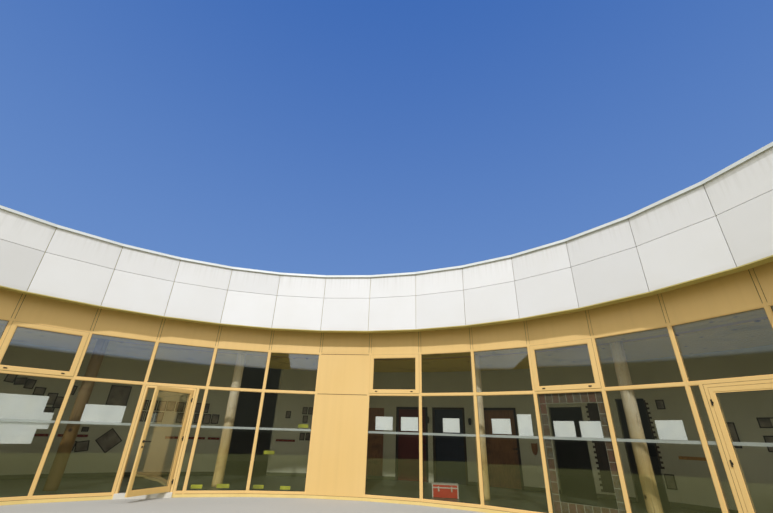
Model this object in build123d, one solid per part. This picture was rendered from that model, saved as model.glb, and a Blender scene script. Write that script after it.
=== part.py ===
"""Curved courtyard wing of a school building, in millimetres.

The wing follows a circle. Its concave side faces -Y and is a storey-high glazed wall of
flat bays behind a tall white fascia. Behind the glass lie a corridor with round timber
columns and, past the corridor wall, the classrooms. Offsets are measured outwards, at
right angles to a bay, from the courtyard face of the glazing.
"""
from build123d import *
import os
from math import cos, sin, tan, radians

# Plan, with the bays named from left to right as the courtyard sees them
BAY_CHORD = 1350.0
BAY_ANGLE = 9.6245
BAYS = ("fixed", "opening", "fixed", "left door", "fixed", "fixed", "solid",
        "opening", "fixed", "fixed", "opening", "fixed", "right door", "fixed")
BAY_COUNT = len(BAYS)
SOLID_BAY = BAYS.index("solid")
LEFT_DOOR_BAY = BAYS.index("left door")
RIGHT_DOOR_BAY = BAYS.index("right door")
CORRIDOR_DEPTH = 3350.0
CORRIDOR_WALL = 120.0
ROOM_DEPTH = 6000.0
OUTER_WALL = 300.0
PARTY_WALL = 300.0

# Levels above the ground
PLINTH_TOP = 60.0
FLOOR_TOP = 100.0
SILL_TOP = 112.0
TRANSOM_MIDDLE = 2308.0
HEAD_MIDDLE = 3320.0
ROOF_UNDERSIDE = 4600.0
ROOF_THICKNESS = 400.0
FASCIA_BOTTOM = 3838.0
FASCIA_JOINT_LEVEL = 4764.0
PARAPET_UPSTAND = 373.0

# Glazed wall
BAR_WIDTH = 50.0
FRAME_DEPTH = 75.0
PLINTH_PROUD = 18.0
GLASS_THICKNESS = 28.0
GLASS_SETBACK = 22.0
PANEL_JOINT = 8.0
PANEL_DEPTH = 40.0
PANEL_SETBACK = 4.0
SASH_FACE = 80.0
SASH_PROUD = 10.0
SASH_DEPTH = 62.0
FITTING_LENGTH = 56.0
FITTING_PROUD = 10.0
FITTING_HEIGHT = 20.0
FITTING_INSET = 191.0
FITTING_LEVEL = 45.0

# Courtyard doors
DOOR_POST_X = 499.0
DOOR_POST_WIDTH = 50.0
JAMB_WIDTH = 52.0
LEAF_GAP = 5.0
LEAF_DEPTH = 54.0
LEAF_STILE = 75.0
LEAF_TOP_RAIL = 85.0
LEAF_BOTTOM_RAIL = 115.0
LEAF_BEAD = 20.0
LEAF_BEAD_STEP = 6.0
STOP_LIP = 15.0
STOP_DEPTH = 15.0
THRESHOLD_GAP = 10.0
THRESHOLD_PROUD = 45.0
LEFT_DOOR_AJAR_ANGLE = 42.5
HINGE_LEVELS = (300.0, 1165.0, 2005.0)

# Corridor doors and doorways, placed by their angle from the middle of the arc
RED_DOOR_ANGLE = 3.95
NAVY_DOOR_ANGLE = 9.96
WOOD_DOOR_ANGLE = 17.85
WIDE_DOORWAY_ANGLE = 27.38
NARROW_DOORWAY_ANGLE = 35.51
ROOM_DOOR_WIDTH = 930.0
ROOM_DOOR_HEIGHT = 2060.0
ROOM_JAMB = 50.0
ROOM_LEAF_DEPTH = 45.0
ROOM_FRAME_PROUD = 10.0
ROOM_HINGE_LEVELS = (300.0, 1100.0, 1900.0)
WIDE_DOORWAY_WIDTH = 862.0
WIDE_DOORWAY_TOP = 2230.0
NARROW_DOORWAY_WIDTH = 650.0
NARROW_DOORWAY_TOP = 2410.0
LOBBY_ANGLE = -22.86
LOBBY_WIDTH = 1510.0
WIDE_FACET_LEFT = 185.0
WIDE_FACET_RIGHT = 630.0

# Card border taped inside the lower pane of a bay
BORDER_BAY = 10
BORDER_BAND = 140.0
BORDER_HEAD_BAND = 203.0
BORDER_FOOT_BAND = 224.0
BORDER_LEFT_GAP = 30.0
BORDER_GAP = 2.0
BORDER_THICKNESS = 3.0
BORDER_TAPE = 0.5

# Hinges and handles
KNUCKLE_RADIUS = 8.0
KNUCKLE_STANDOFF = 1.0
PIN_RADIUS = 4.0
PIN_CLEARANCE = 0.3
KNUCKLE_HEIGHT = 30.0
KNUCKLE_GAP = 0.6
PLATE_WIDTH = 8.0
PLATE_THICKNESS = 3.0
HANDLE_LEVEL = 1110.0
CYLINDER_LEVEL = 1006.0
LEVER_LENGTH = 130.0
LEVER_RADIUS = 10.0
LEVER_STANDOFF = 48.0
ROSE_RADIUS = 26.0
ROSE_THICKNESS = 8.0

# Columns, beam and ceiling
COLUMN_DIAMETER = 260.0
COLUMN_OFFSET = 900.0
FIRST_COLUMN_ANGLE = -46.2
COLUMN_SPACING_ANGLE = 21.41
COLUMN_COUNT = 6
BEAM_WIDTH = 240.0
CEILING_THICKNESS = 40.0

# Fascia and caps
FASCIA_PROUD = 383.0
FASCIA_PANEL = 30.0
FASCIA_CARRIER = 80.0
FASCIA_JOINT = 10.0
CAP_HEIGHT = 60.0
CAP_SHEET = 8.0
CAP_OVERHANG = 12.0
FASCIA_CAP_OVERHANG = 40.0

# Outer windows
WINDOW_WIDTH = 2200.0
WINDOW_SILL = 930.0
WINDOW_FRAME = 70.0
WINDOW_SETBACK = 90.0
WINDOWLESS_BAYS = (3, 4, 9)

# How far a cut runs past the face that it opens
CUT_PAST = 1.0

# Share of a bay from an opening to the fold beside it, and the share that calls for one
FOLD_CLEARANCE = 0.05
FOLD_REACH = 0.5

HALF_ANGLE = BAY_ANGLE / 2
GLAZING_RADIUS = BAY_CHORD / (2 * tan(radians(HALF_ANGLE)))
END_ANGLE = BAY_ANGLE * BAY_COUNT / 2
BAR_HALF = BAR_WIDTH / 2
CLEAR_HALF = BAY_CHORD / 2 - BAR_HALF
TRANSOM_BOTTOM = TRANSOM_MIDDLE - BAR_HALF
TRANSOM_TOP = TRANSOM_MIDDLE + BAR_HALF
HEAD_BOTTOM = HEAD_MIDDLE - BAR_HALF
HEAD_TOP = HEAD_MIDDLE + BAR_HALF
ROOF_TOP = ROOF_UNDERSIDE + ROOF_THICKNESS
FASCIA_TOP = ROOF_TOP + PARAPET_UPSTAND
WALL_TOP = FASCIA_TOP + CAP_HEIGHT - CAP_SHEET
CORRIDOR_FACE = CORRIDOR_DEPTH
ROOM_FACE = CORRIDOR_FACE + CORRIDOR_WALL
OUTER_INSIDE = ROOM_FACE + ROOM_DEPTH
OUTER_FACE = OUTER_INSIDE + OUTER_WALL
FASCIA_FRONT = -FASCIA_PROUD
CARRIER_FRONT = FASCIA_FRONT + FASCIA_PANEL
CARRIER_BACK = CARRIER_FRONT + FASCIA_CARRIER
CAP_FRONT = FASCIA_FRONT - CAP_OVERHANG
PARTY_FRONT = FASCIA_FRONT
PARTY_BACK = OUTER_FACE + FASCIA_PANEL


def vertex_radius(offset):
    """Radius of the folds of the faceted line at an offset from the glazing."""
    return (GLAZING_RADIUS + offset) / cos(radians(HALF_ANGLE))


def plan_angle(position):
    """Angle from +Y, clockwise from above, of a radial counted in bays."""
    return BAY_ANGLE * (position - BAY_COUNT / 2)


PLAN_FRONT = (vertex_radius(CAP_FRONT) * cos(radians(END_ANGLE))
              - (PARTY_WALL + CAP_OVERHANG) * sin(radians(END_ANGLE)))
PLAN_BACK = vertex_radius(OUTER_FACE + FASCIA_PANEL + CAP_OVERHANG)
CENTRE_Y = -(PLAN_FRONT + PLAN_BACK) / 2


def polar(radius, position):
    """Plan point at a radius from the circle's centre, on a radial."""
    angle = radians(plan_angle(position))
    return (radius * sin(angle), CENTRE_Y + radius * cos(angle))


def position_at(angle):
    """Position, counted in bays from the left end, of a radial at an angle from the middle."""
    return BAY_COUNT / 2 + angle / BAY_ANGLE


def bay_place(bay):
    """Frame of one bay: origin in the middle of its face, X along it, Y outwards."""
    x, y = polar(GLAZING_RADIUS, bay + 0.5)
    return Location((x, y, 0), (0, 0, -plan_angle(bay + 0.5)))


def block(x_range, y_range, z_range):
    """Box between two limits on each axis."""
    size = [high - low for low, high in (x_range, y_range, z_range)]
    corner = Pos(x_range[0], y_range[0], z_range[0])
    return corner * Box(*size, align=(Align.MIN, Align.MIN, Align.MIN))


def prism(points, bottom, top):
    """Upright solid over a plan outline."""
    outline = make_face(Polyline(*points, close=True))
    return extrude(Pos(0, 0, bottom) * outline, top - bottom, dir=(0, 0, 1))


def ring(near, far, bottom, top, first=0, last=BAY_COUNT, far_folds=None):
    """Faceted band of the plan between two offsets and two radials."""
    folds = range(first, last + 1)
    inner = [polar(vertex_radius(near), fold) for fold in folds]
    outer = [polar(vertex_radius(far), fold) for fold in reversed(far_folds or folds)]
    return prism(inner + outer, bottom, top)


def across_bay(bay, x_range, y_range, z_range):
    """Box in a bay's own frame."""
    return bay_place(bay) * block(x_range, y_range, z_range)


def bay_panel(bay, joint, y_range, z_range):
    """Flat panel as wide as its bay at that offset, less a joint."""
    half = (GLAZING_RADIUS + y_range[0]) * tan(radians(HALF_ANGLE)) - joint / 2
    return across_bay(bay, (-half, half), y_range, z_range)


def part_of_bay(bay, x, fold, near, far, bottom, top):
    """Stretch of a band from a line across a bay to one of the bay's folds."""
    cut = [(bay_place(bay) * Pos(x, depth, 0)).position for depth in (near, far)]
    corners = [polar(vertex_radius(depth), fold) for depth in (far, near)]
    return prism([(point.X, point.Y) for point in cut] + corners, bottom, top)


def folded_post(fold, half, near, far, bottom, top):
    """Angled post on a fold, with its sides square to the bays that it joins."""
    edges = []
    for depth in (near, far):
        edge = []
        for bay, side in ((fold - 1, 1), (fold, -1)):
            if 0 <= bay < BAY_COUNT:
                spot = (bay_place(bay) * Pos(side * half, depth, 0)).position
                edge.append((spot.X, spot.Y))
        edge.insert(0 if fold == 0 else 1, polar(vertex_radius(depth), fold))
        edges.append(edge)
    return prism(edges[0] + edges[1][::-1], bottom, top)


def mullion(fold):
    """Post of the glazed wall, from the plinth up between the spandrel panels."""
    return folded_post(fold, CLEAR_HALF, 0, FRAME_DEPTH, PLINTH_TOP, ROOF_UNDERSIDE)


def rail(bay, bottom, top, x_range=(-CLEAR_HALF, CLEAR_HALF)):
    """Bar of the glazed wall between two posts."""
    return across_bay(bay, x_range, (0, FRAME_DEPTH), (bottom, top))


def pane(bay, bottom, top, x_range=(-CLEAR_HALF, CLEAR_HALF)):
    """Sealed glass unit, set back from the face."""
    depth = (GLASS_SETBACK, GLASS_SETBACK + GLASS_THICKNESS)
    return across_bay(bay, x_range, depth, (bottom, top))


def window_frame(width, height, face, depth):
    """Rectangular frame standing on its lower edge, centred on X, from Y 0 back."""
    outside = block((-width / 2, width / 2), (0, depth), (0, height))
    inside = block((face - width / 2, width / 2 - face), (-CUT_PAST, depth + CUT_PAST),
                   (face, height - face))
    return outside - inside


def sash(bay):
    """Frame of a top window that opens, proud of the bars round it."""
    frame = window_frame(2 * CLEAR_HALF, HEAD_BOTTOM - TRANSOM_TOP, SASH_FACE, SASH_DEPTH)
    return bay_place(bay) * Pos(0, -SASH_PROUD, TRANSOM_TOP) * frame


def sash_glass(bay):
    """Glass held inside the frame of a sash."""
    half = CLEAR_HALF - SASH_FACE
    return pane(bay, TRANSOM_TOP + SASH_FACE, HEAD_BOTTOM - SASH_FACE, (-half, half))


def sash_fittings(bay):
    """Two small stays on the bottom rail of a sash."""
    level = TRANSOM_TOP + FITTING_LEVEL
    pair = []
    for side in (-1, 1):
        middle = side * (CLEAR_HALF - FITTING_INSET)
        x_range = (middle - FITTING_LENGTH / 2, middle + FITTING_LENGTH / 2)
        pair.append(across_bay(bay, x_range, (-SASH_PROUD - FITTING_PROUD, -SASH_PROUD),
                               (level - FITTING_HEIGHT / 2, level + FITTING_HEIGHT / 2)))
    return pair


class DoorSet:
    """Sizes of one hinged door in its own frame: X across, leaf opening towards -Y."""

    def __init__(self, place, x_range, head, leaf_bottom, jamb, depth, leaf_depth, levels, side):
        self.place = place
        self.left, self.right = x_range
        self.head = head
        self.leaf_bottom = leaf_bottom
        self.jamb = jamb
        self.depth = depth
        self.leaf_depth = leaf_depth
        self.levels = levels
        self.side = side

    @property
    def leaf_x(self):
        """Edges of the closed leaf."""
        return (self.left + self.jamb + LEAF_GAP, self.right - self.jamb - LEAF_GAP)

    @property
    def leaf_top(self):
        """Upper edge of the leaf."""
        return self.head - self.jamb - LEAF_GAP

    @property
    def pivot(self):
        """Hinge axis: midway in the gap, in front of the face."""
        edge = self.leaf_x[1] if self.side > 0 else self.leaf_x[0]
        return (edge + self.side * LEAF_GAP / 2, -KNUCKLE_RADIUS - KNUCKLE_STANDOFF)

    def frame(self, bottom):
        """Jambs and head with a lip behind the leaf."""
        outer = block((self.left, self.right), (0, self.depth), (bottom, self.head))
        clear = (self.left + self.jamb, self.right - self.jamb)
        face_hole = block(clear, (-CUT_PAST, self.depth - STOP_DEPTH),
                          (bottom - CUT_PAST, self.head - self.jamb))
        lip_x = (clear[0] + STOP_LIP, clear[1] - STOP_LIP)
        lip_hole = block(lip_x, (-CUT_PAST, self.depth + CUT_PAST),
                         (bottom - CUT_PAST, self.head - self.jamb - STOP_LIP))
        return outer - face_hole - lip_hole

    def swing(self, shape, angle):
        """A piece of the leaf turned open about the hinge, then put in place."""
        x, y = self.pivot
        turn = Pos(x, y, 0) * Rot(0, 0, self.side * angle) * Pos(-x, -y, 0)
        return self.place * turn * shape

    def hinge(self, level):
        """Fixed and moving halves of one hinge."""
        x, y = self.pivot
        total = 3 * KNUCKLE_HEIGHT + 2 * KNUCKLE_GAP
        low = level - total / 2
        reach = KNUCKLE_RADIUS + KNUCKLE_STANDOFF
        pitch = KNUCKLE_HEIGHT + KNUCKLE_GAP
        outward = self.side

        def strip(near, far, bottom, top):
            ends = sorted((x + near, x + far))
            return block(ends, (-PLATE_THICKNESS, 0), (bottom, top))

        def knuckle(bottom):
            round_bar = Cylinder(KNUCKLE_RADIUS, KNUCKLE_HEIGHT,
                                 align=(Align.CENTER, Align.CENTER, Align.MIN))
            return Pos(x, y, bottom) * round_bar

        plate_end = reach + PLATE_WIDTH
        fixed = strip(outward * reach, outward * plate_end, low, low + total)
        for bottom in (low, low + 2 * pitch):
            tab = strip(0, outward * reach, bottom, bottom + KNUCKLE_HEIGHT)
            fixed = fixed + tab + knuckle(bottom)
        pin = Pos(x, y, low) * Cylinder(PIN_RADIUS, total,
                                        align=(Align.CENTER, Align.CENTER, Align.MIN))
        fixed = fixed + pin
        middle = low + pitch
        moving = strip(-outward * reach, -outward * plate_end, middle, middle + KNUCKLE_HEIGHT)
        moving = moving + strip(0, -outward * reach, middle, middle + KNUCKLE_HEIGHT)
        moving = moving + knuckle(middle)
        bore = Pos(x, y, middle + KNUCKLE_HEIGHT / 2) * Cylinder(
            PIN_RADIUS + PIN_CLEARANCE, KNUCKLE_HEIGHT + 2 * CUT_PAST)
        return fixed, moving - bore

    def hinges(self):
        """All fixed halves and all moving halves."""
        pairs = [self.hinge(level) for level in self.levels]
        return [pair[0] for pair in pairs], [pair[1] for pair in pairs]

    def handle(self, face, direction):
        """Lever on its rose, on one face of the leaf."""
        free_edge = self.leaf_x[0] if self.side > 0 else self.leaf_x[1]
        x = free_edge + self.side * LEAF_STILE / 2
        turned = Rot(90, 0, 0) if direction < 0 else Rot(-90, 0, 0)
        seat = Pos(x, face, HANDLE_LEVEL) * turned
        upright = (Align.CENTER, Align.CENTER, Align.MIN)
        rose = Cylinder(ROSE_RADIUS, ROSE_THICKNESS, align=upright)
        neck = Cylinder(LEVER_RADIUS, LEVER_STANDOFF, align=upright)
        grip = Pos(0, 0, LEVER_STANDOFF) * Rot(0, 90, 0) * Cylinder(
            LEVER_RADIUS, LEVER_LENGTH, align=upright)
        if self.side < 0:
            grip = Rot(0, 0, 180) * grip
        lever = seat * (rose + neck + grip + Pos(0, 0, LEVER_STANDOFF) * Sphere(LEVER_RADIUS))
        lock = Pos(x, face, CYLINDER_LEVEL) * turned * Cylinder(
            ROSE_RADIUS * 0.7, ROSE_THICKNESS, align=upright)
        return [lever, lock]


def leaf_light(door, bead, y_range):
    """Block over the light of a courtyard door leaf, wider all round by a bead."""
    left, right = door.leaf_x
    return block((left + LEAF_STILE - bead, right - LEAF_STILE + bead), y_range,
                 (door.leaf_bottom + LEAF_BOTTOM_RAIL - bead, door.leaf_top - LEAF_TOP_RAIL + bead))


def glazed_leaf(door):
    """Stiles and rails of a courtyard door leaf, with beads set back round the light."""
    depth = door.leaf_depth
    leaf = block(door.leaf_x, (0, depth), (door.leaf_bottom, door.leaf_top))
    leaf = leaf - leaf_light(door, 0, (-CUT_PAST, depth + CUT_PAST))
    leaf = leaf - leaf_light(door, LEAF_BEAD, (-CUT_PAST, LEAF_BEAD_STEP))
    return leaf - leaf_light(door, LEAF_BEAD, (depth - LEAF_BEAD_STEP, depth + CUT_PAST))


def leaf_glass(door):
    """Glass of a courtyard door leaf."""
    middle = door.leaf_depth / 2
    return leaf_light(door, 0, (middle - GLASS_THICKNESS / 2, middle + GLASS_THICKNESS / 2))


def courtyard_door(bay, side):
    """Courtyard door, hinged on the right (side 1) or on the left (side -1)."""
    post_face = DOOR_POST_X - DOOR_POST_WIDTH
    x_range = (-CLEAR_HALF, post_face) if side > 0 else (-post_face, CLEAR_HALF)
    return DoorSet(bay_place(bay), x_range, TRANSOM_BOTTOM, FLOOR_TOP + THRESHOLD_GAP,
                   JAMB_WIDTH, FRAME_DEPTH, LEAF_DEPTH, HINGE_LEVELS, side)


def sidelight_x(side):
    """Limits of the narrow light beside a courtyard door."""
    return (DOOR_POST_X, CLEAR_HALF) if side > 0 else (-CLEAR_HALF, -DOOR_POST_X)


def door_post(bay, side):
    """Straight post between a courtyard door and its sidelight."""
    ends = sorted((side * DOOR_POST_X, side * (DOOR_POST_X - DOOR_POST_WIDTH)))
    return across_bay(bay, ends, (0, FRAME_DEPTH), (PLINTH_TOP, TRANSOM_BOTTOM))


def openings_in_wall():
    """Position, half width and head of each opening, from left to right."""
    half = ROOM_DOOR_WIDTH / 2 + LEAF_GAP + ROOM_JAMB
    head = FLOOR_TOP + THRESHOLD_GAP + ROOM_DOOR_HEIGHT + LEAF_GAP + ROOM_JAMB
    return [(position_at(LOBBY_ANGLE), LOBBY_WIDTH / 2, HEAD_TOP),
            (position_at(RED_DOOR_ANGLE), half, head),
            (position_at(NAVY_DOOR_ANGLE), half, head),
            (position_at(WOOD_DOOR_ANGLE), half, head),
            (position_at(WIDE_DOORWAY_ANGLE), WIDE_DOORWAY_WIDTH / 2, WIDE_DOORWAY_TOP),
            (position_at(NARROW_DOORWAY_ANGLE), NARROW_DOORWAY_WIDTH / 2, NARROW_DOORWAY_TOP)]


def wall_folds():
    """Folds of the corridor wall: on the bays between openings, or else midway between them,
    and close beside an opening that lies far from the next bay's line."""
    bay_along_wall = BAY_CHORD * (GLAZING_RADIUS + CORRIDOR_FACE) / GLAZING_RADIUS
    reaches = []
    for position, half, head in openings_in_wall():
        straightened = position == position_at(WIDE_DOORWAY_ANGLE)
        left = half + (WIDE_FACET_LEFT if straightened else 0)
        right = half + (WIDE_FACET_RIGHT if straightened else 0)
        reaches.append((position - left / bay_along_wall, position + right / bay_along_wall))
    starts = [-FOLD_CLEARANCE] + [reach[1] for reach in reaches]
    ends = [reach[0] for reach in reaches] + [BAY_COUNT + FOLD_CLEARANCE]
    folds = []
    for start, end in zip(starts, ends):
        on_bays = [fold for fold in range(BAY_COUNT + 1) if start < fold < end]
        if on_bays and on_bays[0] - start > FOLD_REACH:
            folds.append(start + FOLD_CLEARANCE)
        folds += on_bays or [(start + end) / 2]
    return folds


WALL_FOLDS = wall_folds()


def wall_site(position):
    """Frame on the corridor face at a radial: X along the facet, Y into the rooms."""
    before = max(fold for fold in WALL_FOLDS if fold <= position)
    after = min(fold for fold in WALL_FOLDS if fold > position)
    start = Vector(*polar(vertex_radius(CORRIDOR_FACE), before))
    end = Vector(*polar(vertex_radius(CORRIDOR_FACE), after))
    along = (end - start).normalized()
    centre = Vector(0, CENTRE_Y)
    ray = Vector(*polar(1000, position)) - centre
    gap = start - centre
    reach = (gap.X * along.Y - gap.Y * along.X) / (ray.X * along.Y - ray.Y * along.X)
    spot = centre + ray * reach
    turn = Vector(1, 0).get_signed_angle(along, Vector(0, 0, 1))
    return Location((spot.X, spot.Y, 0), (0, 0, turn))


def wall_edge(position, x):
    """Near and far plan points of the wall at a distance along the facet from a radial."""
    site = wall_site(position)
    ends = [site * Pos(x, depth, 0) for depth in (0, CORRIDOR_WALL)]
    return [(end.position.X, end.position.Y) for end in ends]


def fold_edge(position):
    """Near and far plan points of the wall at a fold."""
    near = polar(vertex_radius(CORRIDOR_FACE), position)
    far = polar(vertex_radius(ROOM_FACE), position)
    return [near, far]


def wall_piece(edges, bottom, top):
    """Stretch of corridor wall through a list of edges."""
    near = [edge[0] for edge in edges]
    far = [edge[1] for edge in reversed(edges)]
    return prism(near + far, bottom, top)


def corridor_wall():
    """Left stretch, piers, right stretch and the pieces over the openings."""
    stretches = []
    lintels = []
    edges = []
    position_before = -1
    for position, half, head in openings_in_wall():
        folds = [fold for fold in WALL_FOLDS if position_before < fold < position]
        edges += [fold_edge(fold) for fold in folds]
        left = wall_edge(position, -half)
        right = wall_edge(position, half)
        stretches.append(wall_piece(edges + [left], FLOOR_TOP, ROOF_UNDERSIDE))
        lintels.append(wall_piece([left, right], head, ROOF_UNDERSIDE))
        edges = [right]
        position_before = position
    edges += [fold_edge(fold) for fold in WALL_FOLDS if fold > position_before]
    stretches.append(wall_piece(edges, FLOOR_TOP, ROOF_UNDERSIDE))
    return stretches, lintels


def room_door(angle):
    """Solid door in the corridor wall, opening into the room."""
    site = wall_site(position_at(angle))
    place = site * Pos(0, CORRIDOR_WALL + ROOM_FRAME_PROUD, 0) * Rot(0, 0, 180)
    half = ROOM_DOOR_WIDTH / 2 + LEAF_GAP + ROOM_JAMB
    head = FLOOR_TOP + THRESHOLD_GAP + ROOM_DOOR_HEIGHT + LEAF_GAP + ROOM_JAMB
    depth = CORRIDOR_WALL + 2 * ROOM_FRAME_PROUD
    return DoorSet(place, (-half, half), head, FLOOR_TOP + THRESHOLD_GAP, ROOM_JAMB,
                   depth, ROOM_LEAF_DEPTH, ROOM_HINGE_LEVELS, 1)


def room_door_frame(door):
    """Frame of a room door: the lip stands just behind the leaf."""
    outer = block((door.left, door.right), (0, door.depth), (FLOOR_TOP, door.head))
    clear = (door.left + door.jamb, door.right - door.jamb)
    leaf_room = door.leaf_depth + LEAF_GAP
    face_hole = block(clear, (-CUT_PAST, leaf_room),
                      (FLOOR_TOP - CUT_PAST, door.head - door.jamb))
    lip_x = (clear[0] + STOP_LIP, clear[1] - STOP_LIP)
    lip_hole = block(lip_x, (-CUT_PAST, door.depth + CUT_PAST),
                     (FLOOR_TOP - CUT_PAST, door.head - door.jamb - STOP_LIP))
    return outer - face_hole - lip_hole


def solid_leaf(door):
    """Flush door leaf."""
    return block(door.leaf_x, (0, door.leaf_depth), (door.leaf_bottom, door.leaf_top))


def stone_border():
    """Card border on the inside of a lower pane, one band along each edge."""
    near = GLASS_SETBACK + GLASS_THICKNESS + BORDER_TAPE
    far = near + BORDER_THICKNESS
    left, right = BORDER_LEFT_GAP - CLEAR_HALF, CLEAR_HALF - BORDER_GAP
    bottom, top = SILL_TOP + BORDER_GAP, TRANSOM_BOTTOM - BORDER_GAP
    outer = across_bay(BORDER_BAY, (left, right), (near, far), (bottom, top))
    hole = across_bay(BORDER_BAY, (left + BORDER_BAND, right - BORDER_BAND),
                      (near - CUT_PAST, far + CUT_PAST),
                      (bottom + BORDER_FOOT_BAND, top - BORDER_HEAD_BAND))
    return outer - hole


def timber_columns():
    """Round columns from the floor to the beam."""
    height = HEAD_TOP - FLOOR_TOP
    columns = []
    for number in range(COLUMN_COUNT):
        position = position_at(FIRST_COLUMN_ANGLE + number * COLUMN_SPACING_ANGLE)
        x, y = polar(GLAZING_RADIUS + COLUMN_OFFSET, position)
        shaft = Cylinder(COLUMN_DIAMETER / 2, height,
                         align=(Align.CENTER, Align.CENTER, Align.MIN))
        columns.append(Pos(x, y, FLOOR_TOP) * shaft)
    return columns


def cap(near, far, overhang=CAP_OVERHANG):
    """Folded sheet cap between two offsets, with its own overhang on the near side."""
    low = FASCIA_TOP
    high = FASCIA_TOP + CAP_HEIGHT
    sheet = ring(near - overhang, far + CAP_OVERHANG, low, high)
    inside = ring(near - overhang + CAP_SHEET, far + CAP_OVERHANG - CAP_SHEET,
                  low - CUT_PAST, high - CAP_SHEET)
    return sheet - inside


def fascia_panels(front):
    """Two rows of panels, one panel to a bay in each, from a front offset back."""
    depth = (front, front + FASCIA_PANEL)
    rows = ((FASCIA_BOTTOM, FASCIA_JOINT_LEVEL - FASCIA_JOINT / 2),
            (FASCIA_JOINT_LEVEL + FASCIA_JOINT / 2, WALL_TOP))
    return [bay_panel(bay, FASCIA_JOINT, depth, row) for row in rows for bay in range(BAY_COUNT)]


def party_wall(fold):
    """End wall outside the last radial."""
    place = Location((0, CENTRE_Y, 0), (0, 0, -plan_angle(fold)))
    near = vertex_radius(PARTY_FRONT)
    far = vertex_radius(PARTY_BACK)
    x_range = (-PARTY_WALL, 0) if fold == 0 else (0, PARTY_WALL)
    return place * block(x_range, (near, far), (0, WALL_TOP))


def party_cap(fold):
    """Cap of an end wall, stopping at the caps of the long sides."""
    place = Location((0, CENTRE_Y, 0), (0, 0, -plan_angle(fold)))
    near = vertex_radius(PARTY_FRONT) - CAP_OVERHANG
    far = vertex_radius(PARTY_BACK) + CAP_OVERHANG
    x_range = (-PARTY_WALL - CAP_OVERHANG, 0) if fold == 0 else (0, PARTY_WALL + CAP_OVERHANG)
    if fold == 0:
        inner_x = (x_range[0] + CAP_SHEET, CUT_PAST)
    else:
        inner_x = (-CUT_PAST, x_range[1] - CAP_SHEET)
    sheet = block(x_range, (near, far), (FASCIA_TOP, FASCIA_TOP + CAP_HEIGHT))
    inside = block(inner_x, (near + CAP_SHEET, far - CAP_SHEET), (FASCIA_TOP - CUT_PAST, WALL_TOP))
    return place * (sheet - inside)


def outer_pieces():
    """Piers, aprons and windows of the outer wall."""
    half = WINDOW_WIDTH / 2
    piers = []
    aprons = []
    frames = []
    panes = []
    for fold in range(BAY_COUNT + 1):
        piers.append(folded_post(fold, half, OUTER_INSIDE, OUTER_FACE, 0, HEAD_TOP))
    for bay in range(BAY_COUNT):
        top = HEAD_TOP if bay in WINDOWLESS_BAYS else WINDOW_SILL
        aprons.append(across_bay(bay, (-half, half), (OUTER_INSIDE, OUTER_FACE), (0, top)))
        if bay in WINDOWLESS_BAYS:
            continue
        frames.append(outer_window_frame(bay, half))
        inset = half - WINDOW_FRAME
        back = OUTER_FACE - WINDOW_SETBACK - WINDOW_FRAME / 2
        panes.append(across_bay(bay, (-inset, inset), (back - GLASS_THICKNESS, back),
                                (WINDOW_SILL + WINDOW_FRAME, HEAD_TOP - WINDOW_FRAME)))
    return piers, aprons, frames, panes


def outer_window_frame(bay, half):
    """Window of two lights with a bar across, glazing bars outside the glass."""
    height = HEAD_TOP - WINDOW_SILL
    frame = window_frame(2 * half, height, WINDOW_FRAME, WINDOW_FRAME)
    inset = half - WINDOW_FRAME
    bar_depth = WINDOW_FRAME / 2
    upright = block((-WINDOW_FRAME / 2, WINDOW_FRAME / 2), (WINDOW_FRAME - bar_depth, WINDOW_FRAME),
                    (WINDOW_FRAME, height - WINDOW_FRAME))
    level = TRANSOM_MIDDLE - WINDOW_SILL
    across = block((-inset, inset), (WINDOW_FRAME - bar_depth, WINDOW_FRAME),
                   (level - WINDOW_FRAME / 2, level + WINDOW_FRAME / 2))
    seat = Pos(0, OUTER_FACE - WINDOW_SETBACK - WINDOW_FRAME, WINDOW_SILL)
    return bay_place(bay) * seat * (frame + upright + across)


def bays_of(*kinds):
    """Bays of the given kinds, from left to right."""
    return [bay for bay, kind in enumerate(BAYS) if kind in kinds]


def door_thresholds(doors):
    """Concrete pads under the courtyard doors."""
    depth = (-THRESHOLD_PROUD, FRAME_DEPTH)
    return [door.place * block((door.left, door.right), depth, (0, FLOOR_TOP)) for door in doors]


def plinth_strips(doors):
    """Flashing along the foot of the glazed wall, proud of it and broken at the door frames."""
    left, right = doors
    band = (-PLINTH_PROUD, FRAME_DEPTH, 0, PLINTH_TOP)
    runs = ((0, None, LEFT_DOOR_BAY, left),
            (LEFT_DOOR_BAY + 1, left, RIGHT_DOOR_BAY, right),
            (RIGHT_DOOR_BAY + 1, right, BAY_COUNT, None))
    strips = []
    for first, door_before, last, door_after in runs:
        strip = ring(*band, first, last)
        if door_before:
            strip = strip + part_of_bay(first - 1, door_before.right, first, *band)
        if door_after:
            strip = strip + part_of_bay(last, door_after.left, last, *band)
        strips.append(strip)
    return strips


def solid_panels():
    """Panels of the solid bay, with open joints at the levels of the bars beside it."""
    levels = ((PLINTH_TOP, TRANSOM_BOTTOM), (TRANSOM_BOTTOM + PANEL_JOINT, HEAD_BOTTOM),
              (HEAD_BOTTOM + PANEL_JOINT, HEAD_TOP))
    depth = (PANEL_SETBACK, PANEL_SETBACK + PANEL_DEPTH)
    return [across_bay(SOLID_BAY, (-CLEAR_HALF, CLEAR_HALF), depth, level) for level in levels]


def spandrels():
    """Panels between the posts, from the head rails to the roof."""
    half = CLEAR_HALF - PANEL_JOINT
    return [across_bay(bay, (-half, half), (0, FRAME_DEPTH), (HEAD_TOP, ROOF_UNDERSIDE))
            for bay in range(BAY_COUNT)]


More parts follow.
